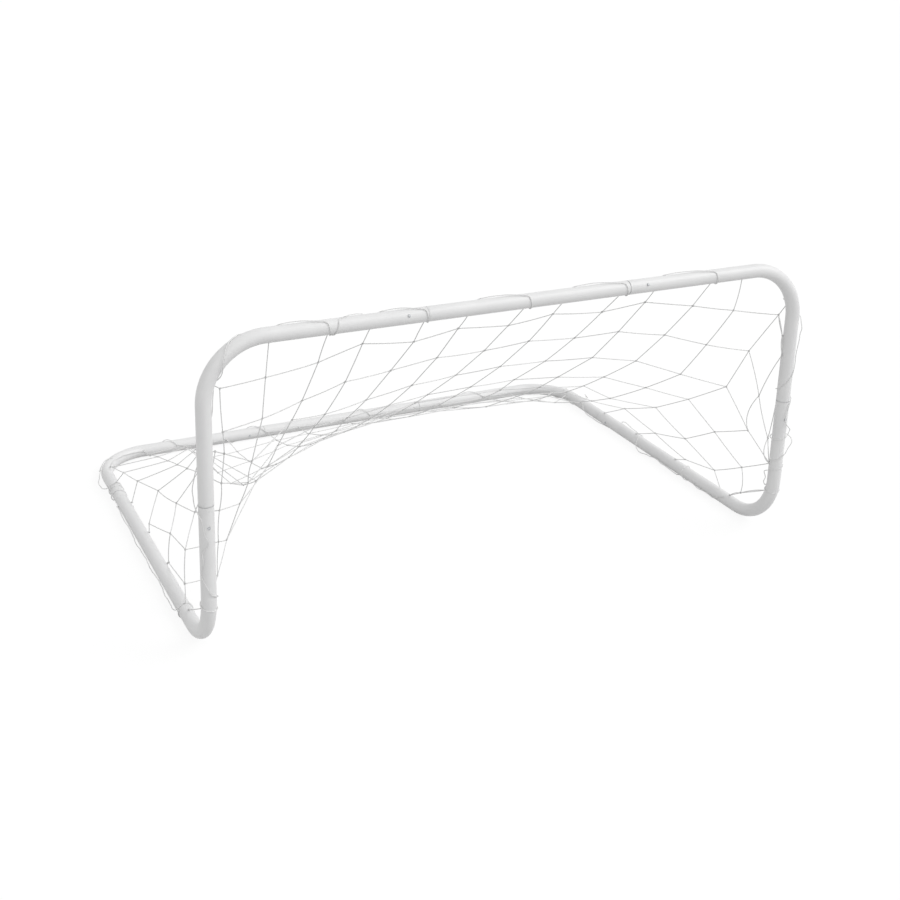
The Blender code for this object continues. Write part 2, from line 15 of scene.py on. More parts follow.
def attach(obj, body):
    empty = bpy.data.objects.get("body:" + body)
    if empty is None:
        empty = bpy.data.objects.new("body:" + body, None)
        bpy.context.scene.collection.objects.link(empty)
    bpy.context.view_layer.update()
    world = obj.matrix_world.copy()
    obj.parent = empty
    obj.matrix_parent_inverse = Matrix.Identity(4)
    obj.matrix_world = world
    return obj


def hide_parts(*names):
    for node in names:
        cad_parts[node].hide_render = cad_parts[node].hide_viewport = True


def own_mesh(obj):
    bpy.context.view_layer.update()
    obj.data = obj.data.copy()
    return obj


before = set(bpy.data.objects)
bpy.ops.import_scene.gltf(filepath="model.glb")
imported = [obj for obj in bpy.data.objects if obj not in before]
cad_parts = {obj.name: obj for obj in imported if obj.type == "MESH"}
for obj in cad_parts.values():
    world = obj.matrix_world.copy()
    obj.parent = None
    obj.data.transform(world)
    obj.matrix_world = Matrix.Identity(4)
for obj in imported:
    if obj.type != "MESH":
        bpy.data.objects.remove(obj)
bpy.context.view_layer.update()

# Frame, as in the part
WIDTH = 1.83
HEIGHT = 0.885
DEPTH = 1.33
TUBE_OD = 0.040
TUBE_WALL = 0.0012
BEND_RADIUS = 0.16
CROSSBAR_MIDDLE = 0.61
REAR_BAR_MIDDLE = 0.61
UPRIGHT_SEAM_HEIGHT = 0.4425
BASE_SEAM_DEPTH = 0.943
SOCKET_LENGTH = 0.085
SWAGE_TAPER = 0.0027
FIT = 0.0003
BUTTON_DIAMETER = 0.008
BUTTON_RISE = 0.003
BUTTON_FROM_SEAM = 0.055
BUTTON_ANGLES = {"upright": 0, "crossbar": 22.5, "base": 270, "rear_bar": 270}
BUTTON_FOOT = 0.0165
LEAF_WIDTH = 0.010
LEAF_THICKNESS = 0.0008
LEAF_PAD = 0.009
LEAF_LENGTH = 0.050
LEAF_BEND_RADIUS = 0.004
LEAF_CLEAR = 0.0001

# How finely the tubes are shaped here. Their rings are counted from a tube's ends, from the middle of a
# hole, from the seam along the tongue that slides into the next tube, and by share of the tongue's taper.
TUBE_SIDES = 56
BEND_STEPS = 28
STRAIGHT_STEP = 0.06
STRAIGHT_END = 0.02
END_RINGS = (0.002, 0.005, 0.012, 0.030)
HOLE_RINGS = (-0.0075, -0.0055, 0.0055, 0.0075)
TONGUE_HOLE_RINGS = (-0.0065, 0.0065)
TONGUE_RINGS = (0.012, 0.028, SOCKET_LENGTH - 0.004, SOCKET_LENGTH)
TAPER_RINGS = (0, 0.12, 0.3, 0.5, 0.7, 0.88, 1)
LEAST_RING_GAP = 0.00035
RIM_ROUNDING = 0.00025
RIM_STEPS = 2
RIM_ANGLE = 55
TUBE_CREASE = 40
HOLE_SIDES = 32
PUNCH_FROM_AXIS = 0.006
# A point further than NEAR_SEAM from a seam counts as FAR_FROM_SEAM away from it
NEAR_SEAM = 0.2
FAR_FROM_SEAM = 1.0

# A button's dome and rolled edge, with the rings on them as shares of the dome's radius and in degrees
# round the edge, and how finely it and its spring are shaped
BUTTON_SIDES = 40
BUTTON_CREASE = 50
DOME_RISE = 0.0011
DOME_POWER = 2.2
DOME_RINGS = np.linspace(0.12, 1, 8)
BUTTON_EDGE = 0.0009
EDGE_RINGS = np.linspace(15, 90, 6)
BUTTON_FOOT_INSET = 0.0003
BUTTON_FOOT_CHAMFER = 0.0006
LEAF_BEND_STEPS = 12
LEAF_CREASE = 40

# Points this close are one point, a tangent is taken over this much of the centre line to each side, and a
# bend's ring keeps this clear of a tube's ends
SAME_PLACE = 1e-6
LINE_STEP = 0.001
BEND_CLEAR = 0.0001

# How the net hangs. The places in these tables are in millimetres, with depths counted back from the
# uprights' axis.
MESH_ROWS = 11
REAR_GATHER = 0.97
GATHERED_BY_ROW = (1 - REAR_GATHER) / MESH_ROWS
# Each upright cord of the main panel: how far across it hangs, how far aside of that it is tied to the
# crossbar, then the depth and height of its upper knots
HUNG_CORDS = {
    -4: (-574, 8, (72, 749), (185, 597), (276, 505), (386, 383)),
    -3: (-462, 12, (42, 790), (161, 644), (304, 499), (396, 422), (498, 328)),
    -2: (-306, 8, (66, 769), (205, 636), (380, 486), (520, 372)),
    -1: (-183, 14, (48, 793), (175, 665), (332, 530), (482, 411), (632, 305)),
    0: (-5, 8, (99, 765), (238, 643), (401, 509), (576, 382)),
    1: (104, 15, (50, 797), (165, 681), (322, 549), (502, 420)),
    2: (294, 10, (98, 766), (230, 646), (376, 522), (556, 394)),
    3: (397, 14, (39, 799), (153, 676), (283, 550), (460, 424)),
    4: (591, 13, (81, 757), (198, 628), (320, 499), (490, 385)),
    5: (701, -2, (27, 741), (135, 602), (244, 468), (412, 361), (599, 254)),
}
# The net's ends, where it turns the corners: across, depth and height of each knot down a cord
END_KNOTS = {
    "left_end": (
        (-725, 27, 747), (-719, 71, 616), (-730, 124, 478), (-720, 203, 382), (-714, 294, 277),
        (-730, 374, 131),
    ),
    "left_post": (
        (-840, 43, 728), (-825, 72, 597), (-820, 95, 526), (-815, 124, 433), (-805, 176, 328),
        (-800, 219, 214), (-800, 245, 98),
    ),
    "left_low": (
        (-830, 332, 253), (-845, 479, 216), (-860, 625, 191), (-878, 797, 152), (-885, 950, 112),
        (-888, 1090, 72),
    ),
    "left_side": ((-895, 213, 217), (-895, 367, 184), (-895, 596, 106)),
    "left_foot": ((-895, 228, 104),),
    "left_drawn": ((-872, 486, 27), (-872, 690, 27), (-872, 905, 27)),
    "right_corner": (
        (895, 61, 696), (895, 170, 543), (895, 263, 389), (895, 445, 278), (895, 620, 182),
        (895, 800, 105),
    ),
    "right_post": ((895, 104, 418), (895, 45, 300)),
    "right_side": ((895, 142, 289), (895, 296, 216), (895, 448, 135), (895, 609, 89)),
    "right_low": ((895, 151, 156), (895, 281, 89), (895, 433, 64)),
    "right_foot": ((895, 142, 74),),
    "right_drawn": ((875, 10, 645), (872.5, 4, 586), (872.5, 4, 238)),
}
# Heights of the ties on each upright, and depths of those on each base tube
TIES = {
    "post": {
        "left": {"top": 770, "foot": 155},
        "right": {"top": 770, "slack": 600, "low": 235, "foot": 145},
    },
    "base": {
        "left": {"foot": 230, "low": 475, "side": 710, "four": 920, "five": 1060, "corner": 1220},
        "right": {
            "foot": 225, "low": 540, "side": 770, "corner": 965, "seven": 1090, "eight": 1180, "nine": 1250,
        },
    },
}
# The two cords that run straight from the left end to the rear bar: from which row of the left post's
# cord, and how far across the bar each is tied
REAR_RUNS = {"left_upper": (3, -620), "left_lower": (4, -740)}
REAR_RUN_PARTS = 8
# Slack lengths of the border cord: height on an upright or depth on a base tube, degrees round the tube
# from its front or underside by its outer side, and how far it stands off the tube
SLACK_STRANDS = {
    "upright": {
        "left": (
            (775, 225, 0), (750, 275, 0), (715, 282, 1), (690, 270, 1), (650, 235, 1), (600, 200, 2),
            (550, 165, 6), (510, 138, 10), (470, 118, 12), (448, 110, 10), (432, 85, 3), (410, 45, 1),
            (370, 31, 2), (353, 4, 2), (342, 10, 3), (320, 53, 1), (290, 42, 2), (275, 60, 2),
            (253, 67, 2), (227, 26, 1), (205, 5, 1), (195, -25, 1), (185, -80, 2), (176, -150, 2),
            (168, -230, 1), (162, -300, 1), (156, -360, 0), (152, -440, 0), (148, -520, 0), (142, -600, 1),
        ),
        "right": (
            (775, 225, 0), (740, 170, 3), (705, 80, 8), (665, 68, 10), (630, 62, 6), (600, 60, 2),
            (560, 52, 1), (530, 20, 0), (505, -30, 0), (485, -85, 1), (475, -140, 3), (468, -200, 3),
            (460, -262, 2), (452, -310, 1), (440, -335, 1), (420, -352, 2), (400, -370, 3), (385, -372, 3),
            (372, -352, 2), (358, -310, 6), (345, -292, 9), (334, -318, 4), (326, -352, 1), (322, -420, 2),
            (322, -500, 4), (325, -580, 8), (325, -640, 16), (312, -655, 21), (298, -660, 16),
            (284, -675, 6), (270, -700, 2), (255, -760, 1), (245, -840, 1), (238, -930, 1),
            (232, -1020, 0), (226, -1100, 0), (220, -1170, 4), (209, -1195, 12), (186, -1195, 3),
            (175, -1195, 12), (165, -1195, 4), (156, -1210, 1), (152, -1290, 0), (149, -1380, 0),
            (146, -1470, 0), (143, -1560, 0), (141, -1640, 0),
        ),
    },
    "base": {
        "left": (
            (1255, 200, 0), (1225, 120, 2), (1200, 95, 3), (1185, 75, 5), (1170, 100, 3), (1150, 140, 1),
            (1140, 95, 8), (1100, 88, 18), (1060, 85, 16), (1038, 95, 6), (1030, 150, 1), (1040, 240, 1),
            (1045, 330, 1), (1030, 430, 2), (1012, 520, 1), (1015, 610, 1), (1000, 700, 2), (988, 790, 3),
            (980, 880, 1), (975, 970, 1), (960, 1060, 1), (940, 1130, 3), (912, 1168, 2), (884, 1172, 1),
            (840, 1165, 4), (805, 1168, 6), (770, 1175, 3), (754, 1168, 2), (700, 1160, 4), (642, 1168, 7),
            (580, 1162, 4), (540, 1172, 3), (499, 1165, 8), (450, 1172, 5), (418, 1168, 2), (370, 1160, 4),
            (320, 1168, 7), (290, 1165, 6), (255, 1170, 9), (236, 1172, 6), (230, 1190, 1), (231, 1230, 0),
            (233, 1290, 0), (230, 1380, 0), (226, 1480, 0), (222, 1560, 0),
        ),
        "right": (
            (198, -140, 0), (215, -112, 0), (232, -84, 1), (245, -66, 3), (280, -75, 2), (330, -68, 4),
            (370, -80, 2), (400, -70, 6), (418, -90, 4), (424, -160, 1), (430, -240, 0), (438, -330, 1),
            (460, -420, 3), (500, -430, 6), (560, -440, 3), (620, -425, 8), (645, -430, 15),
            (675, -440, 10), (690, -500, 1), (700, -590, 1), (730, -600, 2), (775, -575, 2),
            (800, -560, 11), (830, -570, 3), (860, -660, 1), (872, -735, 2), (915, -745, 3),
            (970, -775, 4), (1020, -800, 6), (1050, -850, 1), (1060, -930, 10), (1090, -925, 15),
            (1100, -1000, 2), (1120, -1100, 1), (1160, -1180, 1), (1190, -1240, 1), (1195, -1330, 1),
            (1200, -1420, 1), (1240, -1500, 1),
        ),
    },
}
# How low each cord of the main panel eases out, as a power: at the right, what the leftmost cord at
# BELLY_FROM metres has on top of that, and how fast that fades towards the middle
BELLY = 1.40
BELLY_LEFT = 1.60
BELLY_FROM = -0.574
BELLY_FADE = 2.2
EASING_POINTS = 241

# The cord and its twist, and how it hangs between two knots
CORD = 0.0026
CORD_SIDES = 8
CORD_STEP = 0.011
LEAST_STEPS = 4
STRANDS = 3
STRAND_PITCH = 0.0105
FIBRE_TURNS = 21
FIBRES_ALONG = 5200
CORD_SAG = 0.005
LEAST_SAG = 0.25
SAG_SPREAD = (0.5, 1.6)
CORD_BOW = 0.0012
LANDING_HALVINGS = 30

# Knots: their size and its spread, their own cord and shape as shares of that size, and how far a pull
# moves one
KNOT_SIZE = 0.0021
KNOT_SPREAD = (0.88, 1.16)
KNOT_CORD = 0.62
KNOT_SHAPE = (0.40, 0.34, 0.55)
KNOT_POINTS = 16
KNOT_SIDES = 5
KNOT_SHIFT = 0.0016

# The border cord that laces the net to the tubes
LACING_STEP = 0.005
LACING_CLEARANCE = 0.0004
GROUND_CLEARANCE = 0.0002
WANDER_STEPS = 10
TURN_STEPS = 14
TURN_SHARE = (0.3, 0.7)
TURN_BULGE = (0.2, 0.8)
# How far it stands off a bar on its way from one cord to the next
START_BULGE = 0.003
OVER_BULGE = 0.0035
BACK_OVER_BULGE = 0.002
UNDER_BULGE = 0.0015
END_BULGE = 0.0005
REAR_BULGE = 0.003
# How it crosses a bar to its next tie: the sense in which it turns, how far from the tie it climbs and
# how far before the next it comes down, each with its angle there, and its steps
UP_REAR_DOWN_FRONT = (-1, (0.030, 112), (0.012, 55), (10, 16, 12))
UP_FRONT_DOWN_REAR = (1, (0.020, 430), (0.020, 485), (12, 14, 8))
LACED_FROM_FRONT = -3
# Its soft waves, how large they are on each tube, and the stand-off that frees them
CRINKLE_WAVES = (0.11, 0.062, 0.035)
CRINKLE_PHASE = 6.28
CRINKLE = {"crossbar": 0.0006, "rear_bar": 0.0008, "upright": 0.0012, "base": 0.0012}
CRINKLE_FREE = 0.006
CRINKLE_LEAST = 0.04
SMOOTHING = (1, 2, 3, 2, 1)

# Seeds of what is drawn at random
NET_SEED = 27
KNOT_SEED = 4
BAR_SEEDS = {"crossbar": 5, "rear_bar": 41}
SIDE_SEEDS = {"upright": {"left": 12, "right": 9}, "base": {"left": 21, "right": 33}}

SIDES = {"left": -1, "right": 1}
RADIUS = TUBE_OD / 2
HALF_WIDTH = WIDTH / 2 - RADIUS
AXIS_DEPTH = DEPTH - TUBE_OD
FRONT = -DEPTH / 2 + RADIUS
REAR = FRONT + AXIS_DEPTH
LOW = RADIUS
TOP = HEIGHT - RADIUS
MALE_RADIUS = RADIUS - TUBE_WALL - FIT
LACING_RADIUS = RADIUS + CORD / 2 + LACING_CLEARANCE

# Camera: what the photograph's view measured as, in its own 900 x 900 pixels
FOCAL_PIXELS = 1343.04
FRAME_PIXELS = 900
OPTICAL_CENTRE = (400, 300)
AZIMUTH = -25.0426
ELEVATION = 18.0039
ROLL = 1.0612
ASIDE = -0.2241
ABOVE = 0.5012
DISTANCE = 3.9691
LOOK_AT = (0, 0.28 + FRONT, 0.25)
SENSOR = 36

# Light levels, each lamp's angular size and where it stands round the goal, in degrees
SKY = 0.63
LAMPS = {
    "key": {"level": 1.15, "size": 40, "azimuth": 62, "elevation": 40},
    "fill": {"level": 0.45, "size": 60, "azimuth": -20, "elevation": 15},
}
FLOOR_BOUNCE = (0.53, 0.53, 0.53)
FLOOR_SEEN = (0.17, 0.17, 0.17)
FLOOR_LIFT = 0.86
FLOOR_HALF = 60
FLOOR_LEVEL = -0.0004


# Centre line of the frame

class FrameLine:
    """The closed centre line of the eight tubes, counted in metres from the middle of the rear bar."""

    def __init__(self):
        corners = [
            (-HALF_WIDTH, REAR, LOW),
            (-HALF_WIDTH, FRONT, LOW),
            (-HALF_WIDTH, FRONT, TOP),
            (HALF_WIDTH, FRONT, TOP),
            (HALF_WIDTH, FRONT, LOW),
            (HALF_WIDTH, REAR, LOW),
        ]
        start = np.array((0, REAR, LOW))
        points = [start]
        for index, corner in enumerate(corners):
            points += self.bend(corners[index - 1], corner, corners[(index + 1) % len(corners)])
        points.append(start)
        self.points = np.array(points)
        steps = np.linalg.norm(np.diff(self.points, axis=0), axis=1)
        self.length = np.append(0, np.cumsum(steps))
        self.total = self.length[-1]

    @staticmethod
    def bend(before, corner, after):
        corner = np.array(corner, float)
        back = np.array(before) - corner
        back /= np.linalg.norm(back)
        on = np.array(after) - corner
        on /= np.linalg.norm(on)
        centre = corner + BEND_RADIUS * (back + on)
        turns = np.linspace(0, math.pi / 2, BEND_STEPS + 1)
        return [centre - BEND_RADIUS * (math.cos(turn) * on + math.sin(turn) * back) for turn in turns]

    def point(self, place):
        place = place % self.total
        return Vector([np.interp(place, self.length, self.points[:, axis]) for axis in range(3)])

    def tangent(self, place):
        return (self.point(place + LINE_STEP) - self.point(place - LINE_STEP)).normalized()

    def outward(self, place):
        """Away from the goal's middle, square to the tube."""
        point = self.point(place)
        tangent = self.tangent(place)
        if point.z > RADIUS + BEND_RADIUS and abs(point.y - FRONT) < SAME_PLACE:
            return Vector((0, -1, 0)).cross(tangent).normalized()
        if point.y - FRONT < BEND_RADIUS:
            return Vector((math.copysign(1, point.x), 0, 0))
        return Vector((0, 0, -1)).cross(tangent).normalized()

    def around(self, place, angle, radius):
        """A point beside the tube: 0 degrees is its front or underside, 90 is outward."""
        outward = self.outward(place)
        front = self.tangent(place).cross(outward)
        turn = math.radians(angle)
        return self.point(place) + radius * (math.cos(turn) * front + math.sin(turn) * outward)

    def nearest(self, target):
        target = np.array(target)
        tail = self.points[:-1]
        run = self.points[1:] - tail
        share = np.clip(((target - tail) * run).sum(1) / (run * run).sum(1), 0, 1)
        spots = tail + share[:, None] * run
        index = int(np.argmin(np.linalg.norm(spots - target, axis=1)))
        return self.length[index] + share[index] * (self.length[index + 1] - self.length[index])

    def unwound(self, place, near):
        """The same place, counted so that it lies within half the line's length of another."""
        half = self.total / 2
        return near + (place - near + half) % self.total - half

    def bend_places(self, start, end):
        """Where the bends' points lie between two places, which may be counted past the line's ends."""
        places = np.concatenate([self.length[:-1] + turn * self.total for turn in (-1, 0, 1)])
        return list(places[(places > start + BEND_CLEAR) & (places < end - BEND_CLEAR)])


# Node trees

class Number:
    """A shader socket that takes part in Python sums, where each sum adds its own Math node."""

    def __init__(self, tree, socket):
        self.tree = tree
        self.socket = socket

    def math(self, operation, *others):
        sockets = dict(enumerate((self, *others)))
        node = self.tree.add("ShaderNodeMath", {"operation": operation}, sockets)
        return Number(self.tree, node.outputs[0])

    def __add__(self, other):
        return self.math("ADD", other)

    def __mul__(self, other):
        return self.math("MULTIPLY", other)

    def __rsub__(self, other):
        return self.math("MULTIPLY_ADD", -1, other)

    __radd__ = __add__
    __rmul__ = __mul__

    def between(self, low, high):
        """0 below low, 1 above high, smooth between them."""
        sockets = {"Value": self, "From Min": low, "From Max": high}
        node = self.tree.add("ShaderNodeMapRange", {"interpolation_type": "SMOOTHSTEP"}, sockets)
        return Number(self.tree, node.outputs[0])


class Tree:
    """Adds nodes to one tree. Settings are made first, then each socket gets its value or link."""

    def __init__(self, tree):
        self.tree = tree

    def add(self, kind, settings=None, sockets=None):
        node = self.tree.nodes.new(kind)
        for name, value in (settings or {}).items():
            setattr(node, name, value)
        for key, value in (sockets or {}).items():
            self.put(node.inputs[key], value)
        return node

    def put(self, socket, value):
        """Links a socket to another, or gives it a plain value."""
        if isinstance(value, Number):
            value = value.socket
        if isinstance(value, bpy.types.NodeSocket):
            self.tree.links.new(value, socket)
        else:
            socket.default_value = value


def colour(red, green, blue):
    return (red, green, blue, 1)


class Finish(Tree):
    """A material with one Principled shader, whose sockets are set by name."""

    def __init__(self, name):
        self.material = bpy.data.materials.new(name)
        self.material.use_nodes = True
        super().__init__(self.material.node_tree)
        self.shader = self.tree.nodes["Principled BSDF"]
        self.place = self.add("ShaderNodeTexCoord").outputs["Object"]

    def set(self, **values):
        for key, value in values.items():
            self.put(self.shader.inputs[key.replace("_", " ").title()], value)

    def noise(self, scale, detail, roughness=0.5):
        sockets = {"Vector": self.place, "Scale": scale, "Detail": detail, "Roughness": roughness}
        return Number(self, self.add("ShaderNodeTexNoise", {}, sockets).outputs["Fac"])

    def mixed(self, share, first, second):
        """The first colour where share is 0, the second where it is 1."""
        sockets = {0: share, 6: first, 7: second}
        return self.add("ShaderNodeMix", {"data_type": "RGBA"}, sockets).outputs[2]

    def attribute(self, name):
        return self.add("ShaderNodeAttribute", {"attribute_name": name}).outputs

    def bump(self, height, strength, distance):
        sockets = {"Height": height, "Strength": strength, "Distance": distance}
        return self.add("ShaderNodeBump", {}, sockets).outputs["Normal"]


def powder_coat():
    """White polyester powder: a faint orange peel, a thin dark edge where a tube is cut, dust low down."""
    finish = Finish("white_powder_coat")
    cloud = finish.noise(9, 3)
    peel = finish.noise(420, 2)
    grain = finish.noise(1900, 1)
    speck = finish.noise(900, 0).between(0.72, 0.80)
    from_end = Number(finish, finish.attribute("from_end")["Fac"])
    cut_edge = 1 - from_end.between(0.0002, 0.0011)
    fitting = (1 - from_end.between(0.004, 0.035)) * finish.noise(130, 3).between(0.50, 0.72)
    height = Number(finish, finish.add("ShaderNodeSeparateXYZ", {}, {0: finish.place}).outputs["Z"])
    dust = (1 - height.between(0.002, 0.030)) * finish.noise(60, 4, 0.6).between(0.35, 0.75)
    coat = finish.mixed(cloud.between(0.3, 0.7), colour(0.815, 0.815, 0.817), colour(0.848, 0.848, 0.848))
    coat = finish.mixed(fitting * 0.22, coat, colour(0.52, 0.53, 0.53))
    coat = finish.mixed(dust * 0.18, coat, colour(0.47, 0.46, 0.43))
    coat = finish.mixed(speck * 0.10, coat, colour(0.55, 0.56, 0.56))
    coat = finish.mixed(cut_edge * 0.32, coat, colour(0.24, 0.25, 0.26))
    sheen = 0.36 + cloud * 0.10 + fitting * 0.12 + dust * 0.16
    relief = peel * 0.75 + grain * 0.25
    finish.set(
        base_color=coat,
        roughness=sheen,
        normal=finish.bump(relief, 0.30, 0.0004),
        coat_weight=0.06,
        coat_roughness=0.28,
    )
    finish.put(finish.shader.inputs["IOR"], 1.52)
    return finish.material


def bare_bore():
    """The inside of a tube: phosphated steel with a dusting of powder."""
    finish = Finish("phosphated_bore")
    cloud = finish.noise(70, 4, 0.6)
    streak = finish.noise(900, 2)
    steel = finish.mixed(cloud.between(0.3, 0.7), colour(0.16, 0.165, 0.17), colour(0.30, 0.305, 0.31))
    finish.set(
        base_color=steel,
        roughness=0.55 + cloud * 0.2,
        metallic=0.75 - cloud * 0.25,
        normal=finish.bump(streak, 0.25, 0.0002),
    )
    return finish.material


def zinc_plate():
    """Dull zinc on spring steel: pale cloudy grey with fine drawing marks and rubbed high spots."""
    finish = Finish("zinc_plated_spring_steel")
    cloud = finish.noise(260, 3)
    marks = finish.noise(2400, 2)
    rubbed = finish.noise(700, 3).between(0.5, 0.7)
    plate = finish.mixed(cloud.between(0.35, 0.65), colour(0.50, 0.51, 0.525), colour(0.60, 0.61, 0.62))
    plate = finish.mixed(rubbed * 0.35, plate, colour(0.65, 0.66, 0.67))
    finish.set(
        base_color=plate,
        roughness=0.64 - rubbed * 0.14 + cloud * 0.08,
        metallic=1.0,
        normal=finish.bump(marks, 0.18, 0.0001),
    )
    return finish.material


def twisted_cord():
    """Three-strand polyethylene twine: the strands wind round the cord along its own length, with painted
    shade darkening the grooves between them.
    """
    finish = Finish("twisted_polyethylene_cord")
    along = Number(finish, finish.attribute("along")["Fac"])
    parts = finish.add("ShaderNodeSeparateXYZ", {}, {0: finish.attribute("side")["Vector"]}).outputs
    angle = Number(finish, parts["Y"]).math("ARCTAN2", Number(finish, parts["X"]))
    strand = (angle * STRANDS + along * (2 * math.pi / STRAND_PITCH)).math("SINE") * 0.5 + 0.5
    groove_and_painted_shade = 1 - strand.between(0.0, 0.45)
    fibre = (angle * FIBRE_TURNS + along * FIBRES_ALONG).math("SINE") * 0.5 + 0.5
    fuzz = finish.noise(1500, 3)
    soil = finish.noise(24, 3).between(0.45, 0.75)
    twine = finish.mixed(fuzz.between(0.3, 0.7), colour(0.87, 0.87, 0.87), colour(0.93, 0.93, 0.925))
    # Painted shade: the grooves between the strands are painted darker grey, and the same groove mask also
    # makes them rougher
    twine = finish.mixed(groove_and_painted_shade * 0.30, twine, colour(0.50, 0.50, 0.50))
    twine = finish.mixed(soil * 0.10, twine, colour(0.58, 0.57, 0.53))
    relief = strand * 0.72 + fibre * 0.14 + fuzz * 0.14
    finish.set(
        base_color=twine,
        roughness=0.50 + groove_and_painted_shade * 0.2 + fuzz * 0.1,
        normal=finish.bump(relief, 0.85, 0.0006),
        sheen_weight=0.15,
        sheen_roughness=0.5,
    )
    return finish.material


def studio_floor():
    """A pale sweep. The camera and glossy rays see it as white, less the goal's own shadow."""
    finish = Finish("studio_floor")
    bounce = finish.add("ShaderNodeBsdfDiffuse", {}, {"Color": colour(*FLOOR_BOUNCE)})
    seen = finish.add("ShaderNodeBsdfDiffuse", {}, {"Color": colour(*FLOOR_SEEN)})
    glow = finish.add("ShaderNodeEmission", {}, {"Color": colour(1, 1, 1), "Strength": FLOOR_LIFT})
    both = finish.add("ShaderNodeAddShader", {}, {0: seen.outputs[0], 1: glow.outputs[0]})
    shares = {0: seen_directly(finish), 1: bounce.outputs[0], 2: both.outputs[0]}
    mixed = finish.add("ShaderNodeMixShader", {}, shares)
    finish.tree.nodes.remove(finish.shader)
    finish.put(finish.tree.nodes["Material Output"].inputs["Surface"], mixed.outputs[0])
    return finish.material


def seen_directly(tree):
    """1 for rays that show the backdrop: camera, glossy and transmission."""
    rays = tree.add("ShaderNodeLightPath").outputs
    shown = Number(tree, rays["Is Camera Ray"])
    for name in ("Is Glossy Ray", "Is Transmission Ray"):
        shown = shown.math("MAXIMUM", Number(tree, rays[name]))
    return shown


# Mesh helpers

def add_object(name, data, *finishes):
    obj = bpy.data.objects.new(name, data)
    bpy.context.scene.collection.objects.link(obj)
    for finish in finishes:
        data.materials.append(finish)
    return obj


def settle(obj):
    """Keeps what the modifiers made as the object's plain mesh."""
    graph = bpy.context.evaluated_depsgraph_get()
    mesh = bpy.data.meshes.new_from_object(obj.evaluated_get(graph))
    old = obj.data
    obj.modifiers.clear()
    obj.data = mesh
    mesh.name = old.name
    bpy.data.meshes.remove(old)
    return obj


@contextmanager
def reshaping(mesh):
    """Opens a mesh for bmesh's tools and writes it back afterwards."""
    shape = bmesh.new()
    shape.from_mesh(mesh)
    yield shape
    shape.to_mesh(mesh)
    shape.free()


def outward_faces(mesh):
    with reshaping(mesh) as shape:
        bmesh.ops.remove_doubles(shape, verts=shape.verts, dist=SAME_PLACE)
        bmesh.ops.recalc_face_normals(shape, faces=shape.faces)


def smooth_rounds(mesh, degrees):
    mesh.shade_smooth()
    mesh.set_sharp_from_angle(angle=math.radians(degrees))


def note(mesh, name, kind, values):
    """Stores a value or a vector for each point."""
    field = {"FLOAT": "value", "FLOAT_VECTOR": "vector"}[kind]
    mesh.attributes.new(name, kind, "POINT").data.foreach_set(field, values)


def lines_mesh(name, lines, thickness):
    """Polylines as loose edges, each point with the radius that the sweep gives it there."""
    corners = []
    edges = []
    radii = []
    for line, radius in zip(lines, thickness):
        first = len(corners)
        corners += [tuple(point) for point in line]
        edges += [(i, i + 1) for i in range(first, len(corners) - 1)]
        radii += list(np.broadcast_to(radius, len(line)))
    mesh = bpy.data.meshes.new(name)
    mesh.from_pydata(corners, edges, [])
    note(mesh, "thickness", "FLOAT", radii)
    return mesh


def group_tree(name, inputs):
    """A Geometry Nodes tree with its named inputs, and its Group Input node's sockets."""
    group = bpy.data.node_groups.new(name, "GeometryNodeTree")
    face = group.interface
    face.new_socket("Geometry", in_out="OUTPUT", socket_type="NodeSocketGeometry")
    face.new_socket("Geometry", in_out="INPUT", socket_type="NodeSocketGeometry")
    for title, kind in inputs.items():
        face.new_socket(title, in_out="INPUT", socket_type=kind)
    tree = Tree(group)
    return tree, tree.add("NodeGroupInput").outputs


def close_tree(tree, geometry, finish):
    """Realize Instances, Set Material and the output."""
    real = tree.add("GeometryNodeRealizeInstances", {}, {"Geometry": geometry})
    painted = tree.add("GeometryNodeSetMaterial", {}, {"Geometry": real.outputs[0], "Material": finish})
    tree.add("NodeGroupOutput", {}, {0: painted.outputs[0]})
    return tree.tree


def noted(tree, geometry, name, kind, value):
    """The geometry with a named attribute stored on its points."""
    sockets = {"Geometry": geometry, "Name": name, "Value": value}
    node = tree.add("GeometryNodeStoreNamedAttribute", {"data_type": kind, "domain": "POINT"}, sockets)
    return node.outputs[0]


def read_back(tree, name, kind):
    node = tree.add("GeometryNodeInputNamedAttribute", {"data_type": kind}, {"Name": name})
    return node.outputs["Attribute"]


def sweep_tree():
    """Sweeps a round section along every line, as thick as each point says, and notes how far along it is."""
    inputs = {"Sides": "NodeSocketInt", "Finish": "NodeSocketMaterial"}
    tree, given = group_tree("sweep_round_section", inputs)
    line = tree.add("GeometryNodeMeshToCurve", {}, {"Mesh": given["Geometry"]}).outputs[0]
    length = tree.add("GeometryNodeSplineParameter").outputs["Length"]
    ring = tree.add("GeometryNodeCurvePrimitiveCircle", {}, {"Resolution": given["Sides"], "Radius": 1.0})
    spot = tree.add("GeometryNodeInputPosition").outputs[0]
    sockets = {
        "Curve": noted(tree, line, "along", "FLOAT", length),
        "Profile Curve": noted(tree, ring.outputs["Curve"], "side", "FLOAT_VECTOR", spot),
        "Scale": read_back(tree, "thickness", "FLOAT"),
    }
    swept = tree.add("GeometryNodeCurveToMesh", {}, sockets)
    soft = tree.add("GeometryNodeSetShadeSmooth", {}, {"Geometry": swept.outputs[0]})
    return close_tree(tree, soft.outputs[0], given["Finish"])


